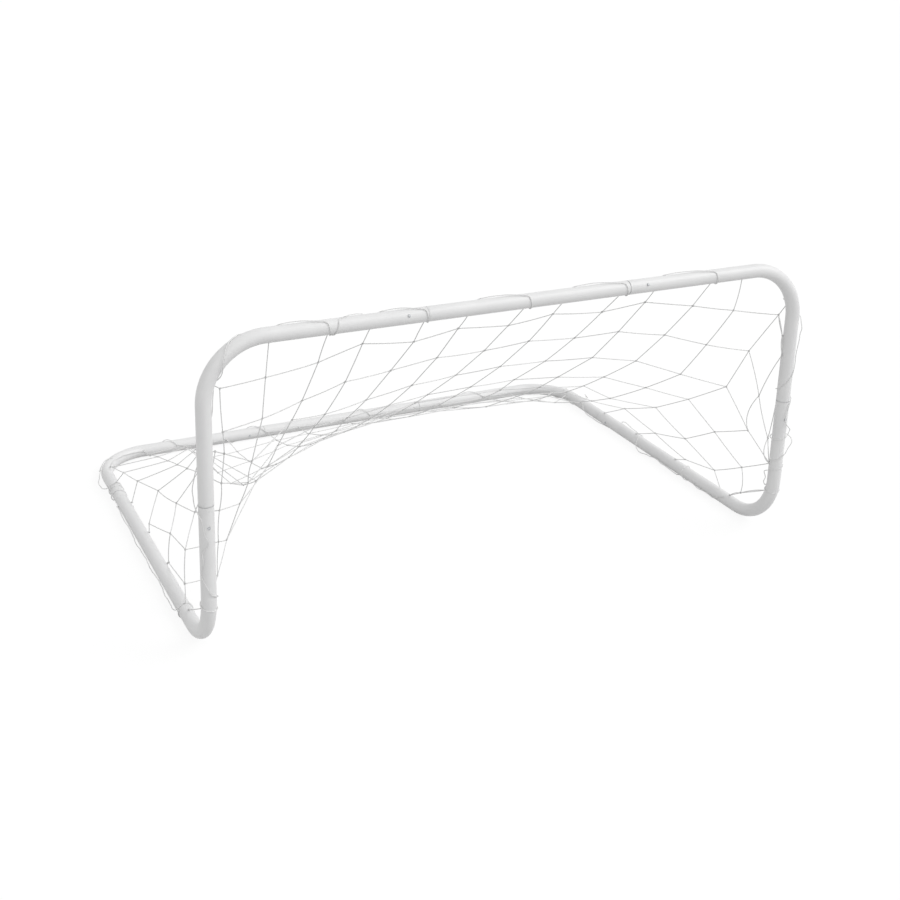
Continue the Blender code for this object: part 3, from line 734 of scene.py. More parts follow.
def knot_tree():
    """Sets one knot on every point, turned to lie along the two cords that it ties."""
    inputs = {
        "Knot": "NodeSocketObject",
        "Size": "NodeSocketFloat",
        "Seed": "NodeSocketInt",
        "Finish": "NodeSocketMaterial",
    }
    tree, given = group_tree("tie_knots", inputs)
    shape = tree.add("GeometryNodeObjectInfo", {}, {"Object": given["Knot"]}).outputs["Geometry"]
    ways = dict(enumerate(read_back(tree, name, "FLOAT_VECTOR") for name in ("cord_way", "row_way")))
    turned = tree.add("FunctionNodeAxesToRotation", {"primary_axis": "X", "secondary_axis": "Y"}, ways)
    least, most = KNOT_SPREAD
    sockets = {2: least, 3: most, "Seed": given["Seed"]}
    spread = Number(tree, tree.add("FunctionNodeRandomValue", {"data_type": "FLOAT"}, sockets).outputs[1])
    sockets = {
        "Points": given["Geometry"],
        "Instance": shape,
        "Rotation": turned.outputs[0],
        "Scale": spread * given["Size"],
    }
    tied = tree.add("GeometryNodeInstanceOnPoints", {}, sockets)
    return close_tree(tree, tied.outputs[0], given["Finish"])


def with_nodes(obj, group, values):
    """Runs a Geometry Nodes tree on an object and keeps the plain mesh that it gives."""
    modifier = obj.modifiers.new(group.name, "NODES")
    modifier.node_group = group
    for item in group.interface.items_tree:
        if item.item_type == "SOCKET" and item.in_out == "INPUT" and item.name in values:
            modifier[item.identifier] = values[item.name]
    return settle(obj)


# Tubes

# Each tube's first and last seam along the line, and which of its ends are drawn down
TUBE_PIECES = {
    "rear_corner_left": ("rear_bar_left", "base_left", ("end",)),
    "bottom_corner_left": ("base_left", "upright_left", ()),
    "top_corner_left": ("upright_left", "crossbar_left", ("start",)),
    "crossbar_middle": ("crossbar_left", "crossbar_right", ("start", "end")),
    "top_corner_right": ("crossbar_right", "upright_right", ("end",)),
    "bottom_corner_right": ("upright_right", "base_right", ()),
    "rear_corner_right": ("base_right", "rear_bar_right", ("start",)),
    "rear_bar_middle": ("rear_bar_right", "rear_bar_left", ("start", "end")),
}

# Which way along the line the outer, button-side tube lies from each seam
OUTER_SIDE = {
    "rear_bar_left": 1,
    "base_left": 1,
    "upright_left": -1,
    "crossbar_left": -1,
    "crossbar_right": 1,
    "upright_right": 1,
    "base_right": -1,
    "rear_bar_right": -1,
}


def seam_places(line):
    """Where along the centre line each seam lies."""
    places = {}
    for side, sign in SIDES.items():
        places["rear_bar_" + side] = line.nearest((sign * REAR_BAR_MIDDLE / 2, REAR, LOW))
        places["base_" + side] = line.nearest((sign * HALF_WIDTH, FRONT + BASE_SEAM_DEPTH, LOW))
        places["upright_" + side] = line.nearest((sign * HALF_WIDTH, FRONT, UPRIGHT_SEAM_HEIGHT))
        places["crossbar_" + side] = line.nearest((sign * CROSSBAR_MIDDLE / 2, FRONT, TOP))
    return places


def button_places(seams):
    """Where along the centre line each button lies, in the outer tube of its seam."""
    return {name: seams[name] + side * BUTTON_FROM_SEAM for name, side in OUTER_SIDE.items()}


def button_matrix(line, name, place):
    """X along the tube, Z out of the button's hole, from the tube's axis."""
    angle = BUTTON_ANGLES[name.rsplit("_", 1)[0]]
    origin = line.point(place)
    out = (line.around(place, angle, 1) - origin).normalized()
    along = line.tangent(place)
    return Matrix.Translation(origin) @ Matrix((along, out.cross(along), out)).transposed().to_4x4()


def swaged(distance):
    """Radius of a tube that is drawn down to slide into the next, by distance from its shoulder's foot."""
    share = min(max(distance / SWAGE_TAPER, 0), 1)
    return MALE_RADIUS + (RADIUS - MALE_RADIUS) * share * share * (3 - 2 * share)


def tube_stations(line, start, end, male, buttons):
    """Places along one tube and its radius at each, the drawn-down ends included."""
    body = [start + near for near in END_RINGS]
    body += [end - near for near in END_RINGS]
    body += line.bend_places(start, end)
    body += [start + step for step in np.arange(STRAIGHT_STEP, end - start - STRAIGHT_END, STRAIGHT_STEP)]
    body += [place + step for place in buttons for step in HOLE_RINGS]
    stations = [(place, RADIUS) for place in body if start < place < end]
    for name, seam, inward in (("start", start, 1), ("end", end, -1)):
        if name not in male:
            stations.append((seam, RADIUS))
            continue
        foot = seam + inward * FIT
        stations = [station for station in stations if (station[0] - foot) * inward > SWAGE_TAPER]
        for share in TAPER_RINGS:
            stations.append((foot + inward * SWAGE_TAPER * share, swaged(SWAGE_TAPER * share)))
        holes = [abs(place - seam) for place in buttons if abs(place - seam) < SOCKET_LENGTH]
        tongue = [*TONGUE_RINGS, *(hole + step for hole in holes for step in TONGUE_HOLE_RINGS)]
        stations += [(seam - inward * place, MALE_RADIUS) for place in tongue]
    stations.sort()
    kept = [stations[0]]
    for station in stations[1:]:
        if station[0] - kept[-1][0] > LEAST_RING_GAP:
            kept.append(station)
    return kept


def note_ends(mesh, line, seams):
    """Stores each point's distance along the tube from the nearer seam."""
    count = len(mesh.vertices)
    spots = np.empty(count * 3, np.float32)
    mesh.vertices.foreach_get("co", spots)
    spots = spots.reshape(-1, 3)
    nearest = np.full(count, FAR_FROM_SEAM)
    for seam in seams:
        away = spots - np.array(line.point(seam))
        along = np.abs(away @ np.array(line.tangent(seam)))
        near = np.linalg.norm(away, axis=1) < NEAR_SEAM
        nearest = np.where(near, np.minimum(nearest, along), nearest)
    note(mesh, "from_end", "FLOAT", nearest)


def hole_cutter(line, name, place):
    """A round punch from near the tube's axis out through the wall."""
    radius = BUTTON_DIAMETER / 2 + FIT
    size = {"segments": HOLE_SIDES, "radius1": radius, "radius2": radius, "depth": TUBE_OD}
    mesh = bpy.data.meshes.new("punch")
    with reshaping(mesh) as shape:
        bmesh.ops.create_cone(shape, cap_ends=True, **size)
        bmesh.ops.translate(shape, verts=shape.verts, vec=(0, 0, TUBE_OD / 2 + PUNCH_FROM_AXIS))
        shape.transform(button_matrix(line, name, place))
    return add_object("punch", mesh)


def outward_tube(mesh, line):
    """Turns an open tube's faces away from the frame's centre line."""
    outward_faces(mesh)
    with reshaping(mesh) as shape:
        shape.faces.ensure_lookup_table()
        face = shape.faces[0]
        middle = face.calc_center_median()
        if face.normal.dot(middle - line.point(line.nearest(middle))) < 0:
            bmesh.ops.reverse_faces(shape, faces=shape.faces)


def make_tubes(line, sweep, coat, bore):
    seams = seam_places(line)
    holes = button_places(seams)
    for name, (first, last, male) in TUBE_PIECES.items():
        start = seams[first]
        end = seams[last]
        if end < start:
            start -= line.total
        own = {seam: line.unwound(holes[seam], near) for seam, near in ((first, start), (last, end))}
        stations = tube_stations(line, start, end, male, list(own.values()))
        points = [line.point(place) for place, _ in stations]
        mesh = lines_mesh(name, [points], [[radius for _, radius in stations]])
        tube = add_object("tube_" + name, mesh)
        with_nodes(tube, sweep, {"Sides": TUBE_SIDES, "Finish": coat})
        outward_tube(tube.data, line)
        tube.data.materials.append(bore)
        wall = tube.modifiers.new("wall", "SOLIDIFY")
        wall.thickness = TUBE_WALL
        wall.offset = -1
        wall.use_even_offset = True
        wall.material_offset = 1
        settle(tube)
        punches = [hole_cutter(line, seam, holes[seam]) for seam in own]
        for punch in punches:
            cut = tube.modifiers.new("hole", "BOOLEAN")
            cut.operation = "DIFFERENCE"
            cut.object = punch
        soften = tube.modifiers.new("rounded_rims", "BEVEL")
        soften.width = RIM_ROUNDING
        soften.segments = RIM_STEPS
        soften.limit_method = "ANGLE"
        soften.angle_limit = math.radians(RIM_ANGLE)
        settle(tube)
        for punch in punches:
            bpy.data.objects.remove(punch, do_unlink=True)
        note_ends(tube.data, line, (start, end))
        smooth_rounds(tube.data, TUBE_CREASE)
        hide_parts(name)
        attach(tube, "frame")


def button_profile():
    """Half section of a button from its crown to its foot: a low dome, a rolled edge, a straight pin."""
    radius = BUTTON_DIAMETER / 2
    flat = radius - BUTTON_EDGE
    top = RADIUS + BUTTON_RISE
    profile = [(0, top)]
    for share in DOME_RINGS:
        out = flat * share
        profile.append((out, top - DOME_RISE * (out / radius) ** DOME_POWER))
    shoulder = profile[-1][1]
    for turn in map(math.radians, EDGE_RINGS):
        profile.append((flat + BUTTON_EDGE * math.sin(turn), shoulder - BUTTON_EDGE * (1 - math.cos(turn))))
    profile += [(radius, BUTTON_FOOT + BUTTON_FOOT_CHAMFER), (radius - BUTTON_FOOT_INSET, BUTTON_FOOT)]
    profile.append((0, BUTTON_FOOT))
    return profile


def revolved(profile, sides):
    """Corners and faces of a half section turned round Z. It starts and ends on the axis."""
    turns = np.linspace(0, 2 * math.pi, sides, endpoint=False)
    corners = []
    for out, up in profile[1:-1]:
        corners += [(out * math.cos(turn), out * math.sin(turn), up) for turn in turns]
    crown = len(corners)
    foot = crown + 1
    last = crown - sides
    corners += [(0, 0, profile[0][1]), (0, 0, profile[-1][1])]
    faces = []
    for side in range(sides):
        after = (side + 1) % sides
        faces += [(crown, side, after), (foot, last + after, last + side)]
        for near in range(0, last, sides):
            far = near + sides
            faces.append((near + side, far + side, far + after, near + after))
    return corners, faces


def make_buttons(line, zinc):
    corners, faces = revolved(button_profile(), BUTTON_SIDES)
    for name, place in button_places(seam_places(line)).items():
        mesh = bpy.data.meshes.new("button_" + name)
        mesh.from_pydata(corners, [], faces)
        mesh.transform(button_matrix(line, name, place))
        outward_faces(mesh)
        smooth_rounds(mesh, BUTTON_CREASE)
        button = add_object("pressed_button_" + name, mesh, zinc)
        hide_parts("snap_button_" + name)
        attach(button, "button_" + name)


def make_leaf_springs(line, zinc):
    """V-shaped spring strips inside the tubes, shaped open; in the goal they close as their buttons go in."""
    seat = BUTTON_FOOT - LEAF_CLEAR - LEAF_THICKNESS / 2
    bend_at = LEAF_PAD - LEAF_LENGTH
    profile = [(LEAF_PAD, seat), (-LEAF_PAD, seat)]
    for turn in np.linspace(0, math.pi, LEAF_BEND_STEPS + 1):
        profile.append((bend_at - LEAF_BEND_RADIUS * math.sin(turn), LEAF_BEND_RADIUS * math.cos(turn)))
    profile += [(-LEAF_PAD, -seat), (LEAF_PAD, -seat)]
    half = LEAF_WIDTH / 2
    faces = [(2 * i, 2 * i + 1, 2 * i + 3, 2 * i + 2) for i in range(len(profile) - 1)]
    for name, place in button_places(seam_places(line)).items():
        side = OUTER_SIDE[name]
        corners = [(along * side, across, up) for along, up in profile for across in (-half, half)]
        mesh = bpy.data.meshes.new("leaf_" + name)
        mesh.from_pydata(corners, [], faces)
        matrix = button_matrix(line, name, place)
        mesh.transform(matrix)
        leaf = add_object("spring_strip_" + name, mesh, zinc)
        strip = leaf.modifiers.new("strip", "SOLIDIFY")
        strip.thickness = LEAF_THICKNESS
        strip.offset = 0
        strip.use_even_offset = True
        settle(leaf)
        outward_faces(leaf.data)
        smooth_rounds(leaf.data, LEAF_CREASE)
        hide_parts("leaf_spring_" + name)
        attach(leaf, "frame")
        "press_" + name
        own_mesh(leaf)


# Net

def eased(top, bottom, count, belly):
    """Knots spaced evenly down a cord that eases out low towards its lower end."""
    share = np.linspace(0, 1, EASING_POINTS)
    top = np.array(top)
    bottom = np.array(bottom)
    line = top + (bottom - top) * share[:, None]
    line[:, 2] = bottom[2] + (top[2] - bottom[2]) * (1 - share) ** belly
    length = np.append(0, np.cumsum(np.linalg.norm(np.diff(line, axis=0), axis=1)))
    places = np.linspace(0, length[-1], count + 1)[1:]
    return [Vector([np.interp(place, length, line[:, axis]) for axis in range(3)]) for place in places]


class Netting:
    """Knots by name, the pairs of them that a cord joins, and the ties where a cord meets a tube."""

    def __init__(self, line):
        self.line = line
        self.knots = {}
        self.ties = {}
        self.cords = {}
        self.strands = []
        self.chance = np.random.default_rng(NET_SEED)

    def column(self, label, knots):
        for row, knot in enumerate(knots, 1):
            self.knots[(label, row)] = knot

    def tie(self, label, place):
        self.ties[label] = place % self.line.total
        self.knots[label] = self.line.point(place)

    def run(self, *knots, bow=(0, 0, 0), second=None):
        """One cord through knots in turn. A bow is how far its slack hangs aside between two of them.

        A second bow adds another cord beside the first.
        """
        for pair in zip(knots, knots[1:]):
            self.cords[frozenset(pair)] = pair
            self.strands.append((*pair, Vector(bow)))
            if second is not None:
                self.strands.append((*pair, Vector(second)))

    def shake(self):
        """Moves each free knot a little, as an uneven pull does."""
        for key in sorted(self.knots, key=str):
            if key not in self.ties:
                self.knots[key] += Vector(self.chance.normal(0, KNOT_SHIFT, 3))

    def landing(self, tie, inner):
        """Where the cord from an inner knot meets the lacing round the tube: its place and angle."""
        near = self.knots[tie]
        far = self.knots[inner]
        low = 0
        high = 1
        for _ in range(LANDING_HALVINGS):
            middle = (low + high) / 2
            spot = near.lerp(far, middle)
            place = self.line.nearest(spot)
            if (spot - self.line.point(place)).length < LACING_RADIUS:
                low = middle
            else:
                high = middle
        outward = self.line.outward(place)
        front = self.line.tangent(place).cross(outward)
        aside = spot - self.line.point(place)
        return place, math.degrees(math.atan2(aside.dot(outward), aside.dot(front))) % 360

    def landed(self, tie, inner):
        place, angle = self.landing(tie, inner)
        return self.line.around(place, angle, LACING_RADIUS)

    def cord_line(self, first, last, slack):
        """One cord between two knots: nearly straight where it is pulled, with a shallow sag."""
        start = self.landed(first, last) if first in self.ties else self.knots[first]
        end = self.landed(last, first) if last in self.ties else self.knots[last]
        span = end - start
        level = 1 - abs(span.z) / span.length
        drop = span.length * CORD_SAG * (LEAST_SAG + level) * self.chance.uniform(*SAG_SPREAD)
        aside = span.cross(Vector((0, 0, 1))).normalized() * self.chance.normal(0, CORD_BOW)
        aside += slack
        steps = max(LEAST_STEPS, math.ceil(span.length / CORD_STEP))
        line = []
        for step in range(steps + 1):
            share = step / steps
            bow = 4 * share * (1 - share)
            line.append(start + span * share + aside * bow - Vector((0, 0, drop * bow)))
        return line

    def lines(self):
        return [self.cord_line(*strand) for strand in self.strands]


def metres(millimetres):
    return millimetres / 1000


def knots_of(label, first, last):
    return [(label, row) for row in range(first, last + 1)]


def hang_back(net):
    """The main panel, from the crossbar down and back to the rear bar."""
    line = net.line
    for index, (across, aside, *upper) in HUNG_CORDS.items():
        x = metres(across)
        top = line.nearest((x + metres(aside), FRONT, TOP))
        bottom = line.nearest((x * REAR_GATHER, REAR, LOW))
        knots = []
        for row, (depth, height) in enumerate(upper, 1):
            gathered = x * (1 - GATHERED_BY_ROW * row)
            knots.append(Vector((gathered, FRONT + metres(depth), metres(height))))
        belly = BELLY + BELLY_LEFT * max(0, x / BELLY_FROM) ** BELLY_FADE
        net.column(index, knots + eased(knots[-1], line.point(bottom), MESH_ROWS - len(knots), belly))
        net.tie((index, 0), top)
        net.tie((index, MESH_ROWS), bottom)
        net.run(*knots_of(index, 0, MESH_ROWS))
    for row in range(1, MESH_ROWS):
        net.run(*((index, row) for index in HUNG_CORDS))


def beside(line, side, tube, distance):
    """The place on an upright at a height, or on a base tube at a depth, both in millimetres."""
    x = SIDES[side] * HALF_WIDTH
    if tube == "base":
        return line.nearest((x, FRONT + metres(distance), LOW))
    return line.nearest((x, FRONT, metres(distance)))


def tie_sides(net):
    for tube, sides in TIES.items():
        for side, ties in sides.items():
            for label, distance in ties.items():
                net.tie((side, tube, label), beside(net.line, side, tube, distance))
    for label, knots in END_KNOTS.items():
        places = [(metres(x), FRONT + metres(depth), metres(height)) for x, depth, height in knots]
        net.column(label, list(map(Vector, places)))


def ties_of(side, tube):
    return {label: (side, tube, label) for label in TIES[tube][side]}


def hang_left(net):
    """The left end hangs slack close to its post, and its rows run back to the rear bar and the base."""
    line = net.line
    post = ties_of("left", "post")
    base = ties_of("left", "base")
    net.tie(("left_end", 0), line.nearest((metres(END_KNOTS["left_end"][0][0]), FRONT, TOP)))
    net.run(*knots_of("left_end", 0, 6), ("left_post", 7))
    net.run(post["top"], *knots_of("left_post", 1, 7), post["foot"])
    for row in range(1, 7):
        net.run((-4, row), ("left_end", row), ("left_post", row))
    for label, (row, x) in REAR_RUNS.items():
        bottom = line.nearest((metres(x), REAR, LOW))
        start = net.knots[("left_post", row)]
        net.column(label, eased(start, line.point(bottom), REAR_RUN_PARTS, 1))
        net.tie((label, REAR_RUN_PARTS), bottom)
        net.run(("left_post", row), *knots_of(label, 1, REAR_RUN_PARTS))
    net.run(("left_post", 5), *knots_of("left_low", 1, 6), base["corner"])
    net.run(("left_post", 6), *knots_of("left_side", 1, 3), ("left_drawn", 2), base["side"])
    net.run(("left_post", 7), ("left_foot", 1), ("left_drawn", 1), base["low"])
    for row in range(1, 7):
        net.run(("left_upper", row), ("left_lower", row), ("left_low", row))
    net.run(("left_upper", 7), ("left_lower", 7))
    net.run(("left_low", 1), ("left_side", 1), ("left_foot", 1), base["foot"], post["foot"])
    net.run(("left_low", 2), ("left_side", 2), ("left_drawn", 1))
    net.run(("left_low", 3), ("left_side", 3))
    net.run(("left_low", 4), ("left_drawn", 3), base["four"])
    net.run(("left_low", 5), base["five"])
    for row in range(3, 8):
        net.run(("left_upper", row), (-4, row + 3))


def hang_right(net):
    """The right end is drawn to its post by slack cords, some of them doubled."""
    post = ties_of("right", "post")
    base = ties_of("right", "base")
    net.run(post["top"], *knots_of("right_corner", 1, 6), base["corner"])
    for row in range(1, 7):
        net.run((5, row), ("right_corner", row))
    for row, label in ((7, "seven"), (8, "eight"), (9, "nine")):
        net.run((5, row), base[label])
    hanging, caught = knots_of("right_post", 1, 2)
    bearing, slack, low = knots_of("right_drawn", 1, 3)
    net.run(("right_corner", 1), bearing, slack, second=(0, 0.005, 0.002))
    net.run(slack, post["slack"])
    net.run(slack, hanging, bow=(-0.004, 0, 0.002))
    net.run(("right_corner", 2), hanging, bow=(0, -0.006, 0))
    net.run(hanging, caught, bow=(0, 0.004, 0))
    net.run(slack, caught, bow=(0.004, -0.004, 0))
    net.run(caught, low, second=(-0.018, 0, -0.004))
    net.run(low, post["low"])
    net.run(hanging, ("right_side", 1), bow=(0, 0.024, -0.008))
    net.run(("right_side", 1), low)
    net.run(*knots_of("right_side", 1, 4), base["side"])
    net.run(low, *knots_of("right_low", 1, 3), base["low"])
    net.run(("right_corner", 3), ("right_side", 1))
    net.run(("right_corner", 4), ("right_side", 2), ("right_low", 1))
    net.run(("right_corner", 5), ("right_side", 3), ("right_low", 2), base["foot"])
    net.run(("right_corner", 6), ("right_side", 4), ("right_low", 3))
    net.run(("right_low", 1), ("right_foot", 1), bow=(0, -0.010, 0))
    net.run(post["foot"], ("right_foot", 1), base["foot"], second=(0, 0, 0.004))


class Lacing:
    """The border cord, as places, angles and radii round the tubes that it winds along."""

    def __init__(self, net, seed, ties=()):
        self.line = net.line
        self.spots = [net.landing(tie, inner) for tie, inner in ties]
        self.path = [(place, angle, LACING_RADIUS) for place, angle in self.spots[:1]]
        self.chance = np.random.default_rng(seed)

    def wander(self, spots):
        """Eased through the given places, angles and stand-offs, one after another."""
        values = np.array(spots)
        at = np.arange(len(spots))
        fine = np.linspace(0, len(spots) - 1, WANDER_STEPS * (len(spots) - 1) + 1)
        place, angle, lift = (np.interp(fine, at, values[:, column]).tolist() for column in range(3))
        self.path += [(spot, turn, LACING_RADIUS + off) for spot, turn, off in zip(place, angle, lift)]

    def go(self, place, angle, bulge, steps):
        """On to a place and an angle, standing off the tube by up to bulge on the way."""
        from_place, from_angle, _ = self.path[-1]
        for step in range(1, steps + 1):
            share = step / steps
            lift = bulge * math.sin(math.pi * share)
            spot = (from_place + (place - from_place) * share, from_angle + (angle - from_angle) * share)
            self.path.append((*spot, LACING_RADIUS + lift))

    def target(self, index):
        place, angle = self.spots[index]
        return self.line.unwound(place, self.path[-1][0]), angle

    def long_way(self, index, sense):
        """The next tie's place, and its angle after more than half a turn in the given sense."""
        place, angle = self.target(index)
        turned = self.path[-1][1]
        whole = (sense * (angle - turned)) % 360
        return place, turned + sense * (whole if whole > 180 else whole + 360)

    def short_way(self, index, bulge):
        place, angle = self.target(index)
        turn = (angle - self.path[-1][1] + 180) % 360 - 180
        self.go(place, self.path[-1][1] + turn, bulge, TURN_STEPS)

    def over_the_bar(self, index, way, lift):
        """Up one side of the bar, along it, and straight down the other side at the next cord."""
        sense, (leave, climb), (arrive, fall), (first, middle, last) = way
        place, end = self.long_way(index, sense)
        start, turned, _ = self.path[-1]
        along = math.copysign(1, place - start)
        level = turned - turned % 360
        self.go(start + leave * along, level + climb, 0, first)
        self.go(place - arrive * along, level + fall, lift, middle)
        self.go(place, end, 0, last)

    def turn_round(self, index, sense, bulge):
        """Once round the tube on the way to the next tie, slack enough to stand off it."""
        place, end = self.long_way(index, sense)
        start, turned, _ = self.path[-1]
        share = self.chance.uniform(*TURN_SHARE)
        self.go(start + (place - start) * share, turned + (end - turned) * share, bulge, TURN_STEPS)
        self.go(place, end, bulge * self.chance.uniform(*TURN_BULGE), TURN_STEPS)

    def points(self, crinkle, ground=False):
        """Evenly spaced points along the path with a soft crinkle, kept off the tube and the ground."""
        raw = np.array([self.line.around(place, angle, radius) for place, angle, radius in self.path])
        slack = np.array([radius - LACING_RADIUS for _, _, radius in self.path])
        length = np.append(0, np.cumsum(np.linalg.norm(np.diff(raw, axis=0), axis=1)))
        count = int(length[-1] / LACING_STEP)
        places = np.linspace(0, length[-1], count)
        line = np.stack([np.interp(places, length, raw[:, axis]) for axis in range(3)], 1)
        slack = np.interp(places, length, slack)
        window = np.array(SMOOTHING) / sum(SMOOTHING)
        freedom = np.clip(slack / CRINKLE_FREE, CRINKLE_LEAST, 1)
        for axis in range(3):
            padded = np.pad(line[:, axis], len(SMOOTHING) // 2, "edge")
            wave = np.zeros(count)
            for wavelength in CRINKLE_WAVES:
                phase = self.chance.uniform(0, CRINKLE_PHASE)
                wave += np.sin(2 * math.pi * places / wavelength + phase) * wavelength / CRINKLE_WAVES[0]
            line[:, axis] = np.convolve(padded, window, "valid") + wave * crinkle * freedom
        return [self.kept_clear(Vector(spot), ground) for spot in line]

    def kept_clear(self, spot, ground):
        axis = self.line.point(self.line.nearest(spot))
        aside = spot - axis
        if aside.length < LACING_RADIUS:
            spot = axis + aside.normalized() * LACING_RADIUS
        if ground:
            spot.z = max(spot.z, CORD / 2 + GROUND_CLEARANCE)
        return spot


def lace_crossbar(net):
    """Over the bar to each even cord, and under it to each odd one but one."""
    columns = list(HUNG_CORDS)
    ties = [(("left", "post", "top"), ("left_post", 1)), (("left_end", 0), ("left_end", 1))]
    ties += [((key, 0), (key, 1)) for key in columns]
    ties += [(("right", "post", "top"), ("right_corner", 1))]
    lacing = Lacing(net, BAR_SEEDS["crossbar"], ties)
    lacing.turn_round(1, 1, START_BULGE)
    for number, index in enumerate(columns, 2):
        if index % 2 == 0:
            lacing.over_the_bar(number, UP_REAR_DOWN_FRONT, OVER_BULGE)
        elif index == LACED_FROM_FRONT:
            lacing.over_the_bar(number, UP_FRONT_DOWN_REAR, BACK_OVER_BULGE)
        else:
            lacing.short_way(number, UNDER_BULGE)
    lacing.short_way(len(ties) - 1, END_BULGE)
    return lacing.points(CRINKLE["crossbar"])


def lace_side(net, side, tube):
    """Down an upright or along a base tube: drawn in at the ties, and in slack loops between them."""
    lacing = Lacing(net, SIDE_SEEDS[tube][side])
    strand = SLACK_STRANDS[tube][side]
    lacing.wander([(beside(net.line, side, tube, far), angle, metres(off)) for far, angle, off in strand])
    return lacing.points(CRINKLE[tube], ground=tube == "base")


def lace_rear_bar(net):
    """Along the bar from right to left, with a whole turn round it at every third cord."""
    columns = sorted(HUNG_CORDS, reverse=True)
    ties = [(("right", "base", "nine"), (5, 9))]
    ties += [((index, MESH_ROWS), (index, MESH_ROWS - 1)) for index in columns]
    ties += [((label, REAR_RUN_PARTS), (label, REAR_RUN_PARTS - 1)) for label in REAR_RUNS]
    ties += [(("left", "base", "corner"), ("left_low", 6))]
    lacing = Lacing(net, BAR_SEEDS["rear_bar"], ties)
    for number in range(1, len(ties)):
        if number % 3 == 0:
            lacing.turn_round(number, -1, REAR_BULGE)
        else:
            lacing.short_way(number, REAR_BULGE)
    return lacing.points(CRINKLE["rear_bar"], ground=True)


def knot_shape(sweep, twine):
    """A small closed overhand knot, pulled nearly round."""
    long, wide, thick = KNOT_SHAPE
    spots = []
    for turn in np.linspace(0, 2 * math.pi, KNOT_POINTS, endpoint=False):
        x = (math.sin(turn) + 2 * math.sin(2 * turn)) * long
        y = (math.cos(turn) - 2 * math.cos(2 * turn)) * wide
        spots.append((x, y, -math.sin(3 * turn) * thick))
    mesh = bpy.data.meshes.new("overhand_knot")
    mesh.from_pydata(spots, [(i, (i + 1) % KNOT_POINTS) for i in range(KNOT_POINTS)], [])
    note(mesh, "thickness", "FLOAT", [KNOT_CORD] * KNOT_POINTS)
    knot = add_object("overhand_knot", mesh)
    return with_nodes(knot, sweep, {"Sides": KNOT_SIDES, "Finish": twine})


def knot_points(net):
    """A mesh of points, one for each knot and tie, with the two ways in which its cords run."""
    ways = {}
    tied_to = {}
    for first, last in net.cords.values():
        run = (net.knots[last] - net.knots[first]).normalized()
        for key, other in ((first, last), (last, first)):
            ways.setdefault(key, []).append(run)
            tied_to[key] = other
    spots = []
    cord_ways = []
    row_ways = []
    for key in sorted(ways, key=str):
        runs = ways[key]
        spots.append(net.landed(key, tied_to[key]) if key in net.ties else net.knots[key])
        cord_ways += list(runs[0])
        row_ways += list(min(runs, key=lambda run: abs(run.dot(runs[0]))))
    mesh = bpy.data.meshes.new("net_knots")
    mesh.from_pydata(spots, [], [])
    note(mesh, "cord_way", "FLOAT_VECTOR", cord_ways)
    note(mesh, "row_way", "FLOAT_VECTOR", row_ways)
    return mesh


def close_ends(mesh):
    """Caps every open cord end and turns the faces outward."""
    with reshaping(mesh) as shape:
        open_edges = [edge for edge in shape.edges if edge.is_boundary]
        if open_edges:
            bmesh.ops.holes_fill(shape, edges=open_edges, sides=0)
        bmesh.ops.recalc_face_normals(shape, faces=shape.faces)
        for face in shape.faces:
            face.smooth = True


def cord_piece(name, lines, sweep, twine):
    """Every line as one sweep of cord."""
    piece = add_object(name, lines_mesh(name, lines, [CORD / 2] * len(lines)))
    return with_nodes(piece, sweep, {"Sides": CORD_SIDES, "Finish": twine})


def make_net(line, sweep, tie, twine):
    net = Netting(line)
    tie_sides(net)
    hang_back(net)
    hang_left(net)
    hang_right(net)
    net.shake()
    hung = cord_piece("net_cords", net.lines(), sweep, twine)
    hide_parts("net_back", "net_left", "net_right")
    borders = [lace_crossbar(net), lace_rear_bar(net)]
    borders += [lace_side(net, side, tube) for side in SIDES for tube in SLACK_STRANDS]
    lacing = cord_piece("net_lacing", borders, sweep, twine)
    knot = knot_shape(sweep, twine)
    knots = add_object("net_knots", knot_points(net))
    with_nodes(knots, tie, {"Knot": knot, "Size": KNOT_SIZE, "Seed": KNOT_SEED, "Finish": twine})
    bpy.data.objects.remove(knot, do_unlink=True)
    for piece in (hung, lacing, knots):
        close_ends(piece.data)
        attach(piece, "frame")


# Studio

def make_floor():
    mesh = bpy.data.meshes.new("floor")
    corners = [(x * FLOOR_HALF, y * FLOOR_HALF, 0) for x, y in ((-1, -1), (1, -1), (1, 1), (-1, 1))]
    mesh.from_pydata(corners, [], [(0, 1, 2, 3)])
    floor = add_object("floor", mesh, studio_floor())
    floor.location.z = FLOOR_LEVEL


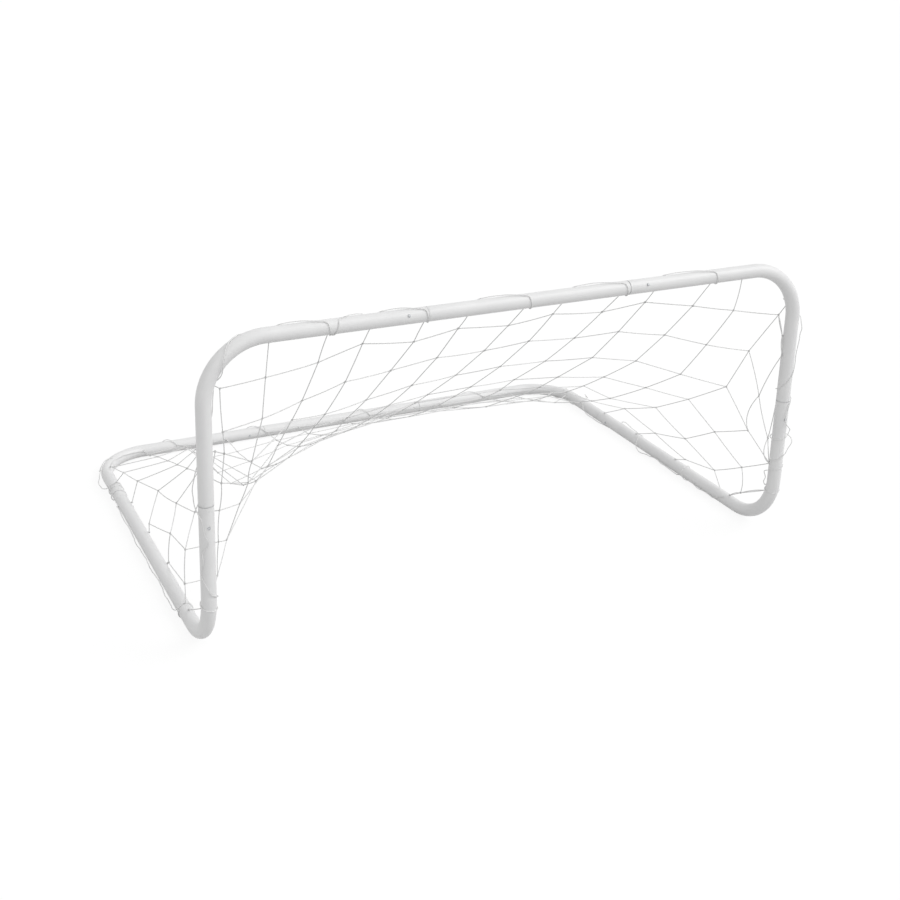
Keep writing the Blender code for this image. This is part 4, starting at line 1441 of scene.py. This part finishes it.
def seen_from(azimuth, elevation):
    """The direction to a viewer or a lamp. Azimuth 0 is in front of the mouth."""
    level = math.cos(elevation)
    return Vector((math.sin(azimuth) * level, -math.cos(azimuth) * level, math.sin(elevation)))


def make_light():
    world = bpy.data.worlds.new("soft_sky")
    world.use_nodes = True
    bpy.context.scene.world = world
    tree = Tree(world.node_tree)
    level = seen_directly(tree) * (1 - SKY) + SKY
    sky = world.node_tree.nodes["Background"].inputs
    tree.put(sky["Color"], colour(1, 1, 1))
    tree.put(sky["Strength"], level)
    for name, lamp in LAMPS.items():
        light = bpy.data.lights.new(name, "SUN")
        light.energy = lamp["level"]
        light.angle = math.radians(lamp["size"])
        away = seen_from(math.radians(lamp["azimuth"]), math.radians(lamp["elevation"]))
        add_object(name, light).rotation_euler = away.to_track_quat("Z", "Y").to_euler()


def make_camera():
    azimuth, elevation, roll = map(math.radians, (AZIMUTH, ELEVATION, ROLL))
    back = seen_from(azimuth, elevation)
    right = (-back).cross(Vector((0, 0, 1))).normalized()
    up = right.cross(-back)
    across = right * math.cos(roll) + up * math.sin(roll)
    above = up * math.cos(roll) - right * math.sin(roll)
    data = bpy.data.cameras.new("photo_camera")
    data.sensor_width = SENSOR
    data.lens = FOCAL_PIXELS / FRAME_PIXELS * data.sensor_width
    data.shift_x = (FRAME_PIXELS / 2 - OPTICAL_CENTRE[0]) / FRAME_PIXELS
    data.shift_y = (OPTICAL_CENTRE[1] - FRAME_PIXELS / 2) / FRAME_PIXELS
    camera = add_object("photo_camera", data)
    place = Vector(LOOK_AT) + back * DISTANCE + right * ASIDE + up * ABOVE
    camera.matrix_world = Matrix.Translation(place) @ Matrix((across, above, back)).transposed().to_4x4()
    bpy.context.scene.camera = camera


def main():
    bpy.context.scene.view_settings.view_transform = "Standard"
    make_camera()
    make_light()
    make_floor()
    line = FrameLine()
    coat = powder_coat()
    zinc = zinc_plate()
    twine = twisted_cord()
    sweep = sweep_tree()
    make_tubes(line, sweep, coat, bare_bore())
    make_buttons(line, zinc)
    make_leaf_springs(line, zinc)
    make_net(line, sweep, knot_tree(), twine)


main()
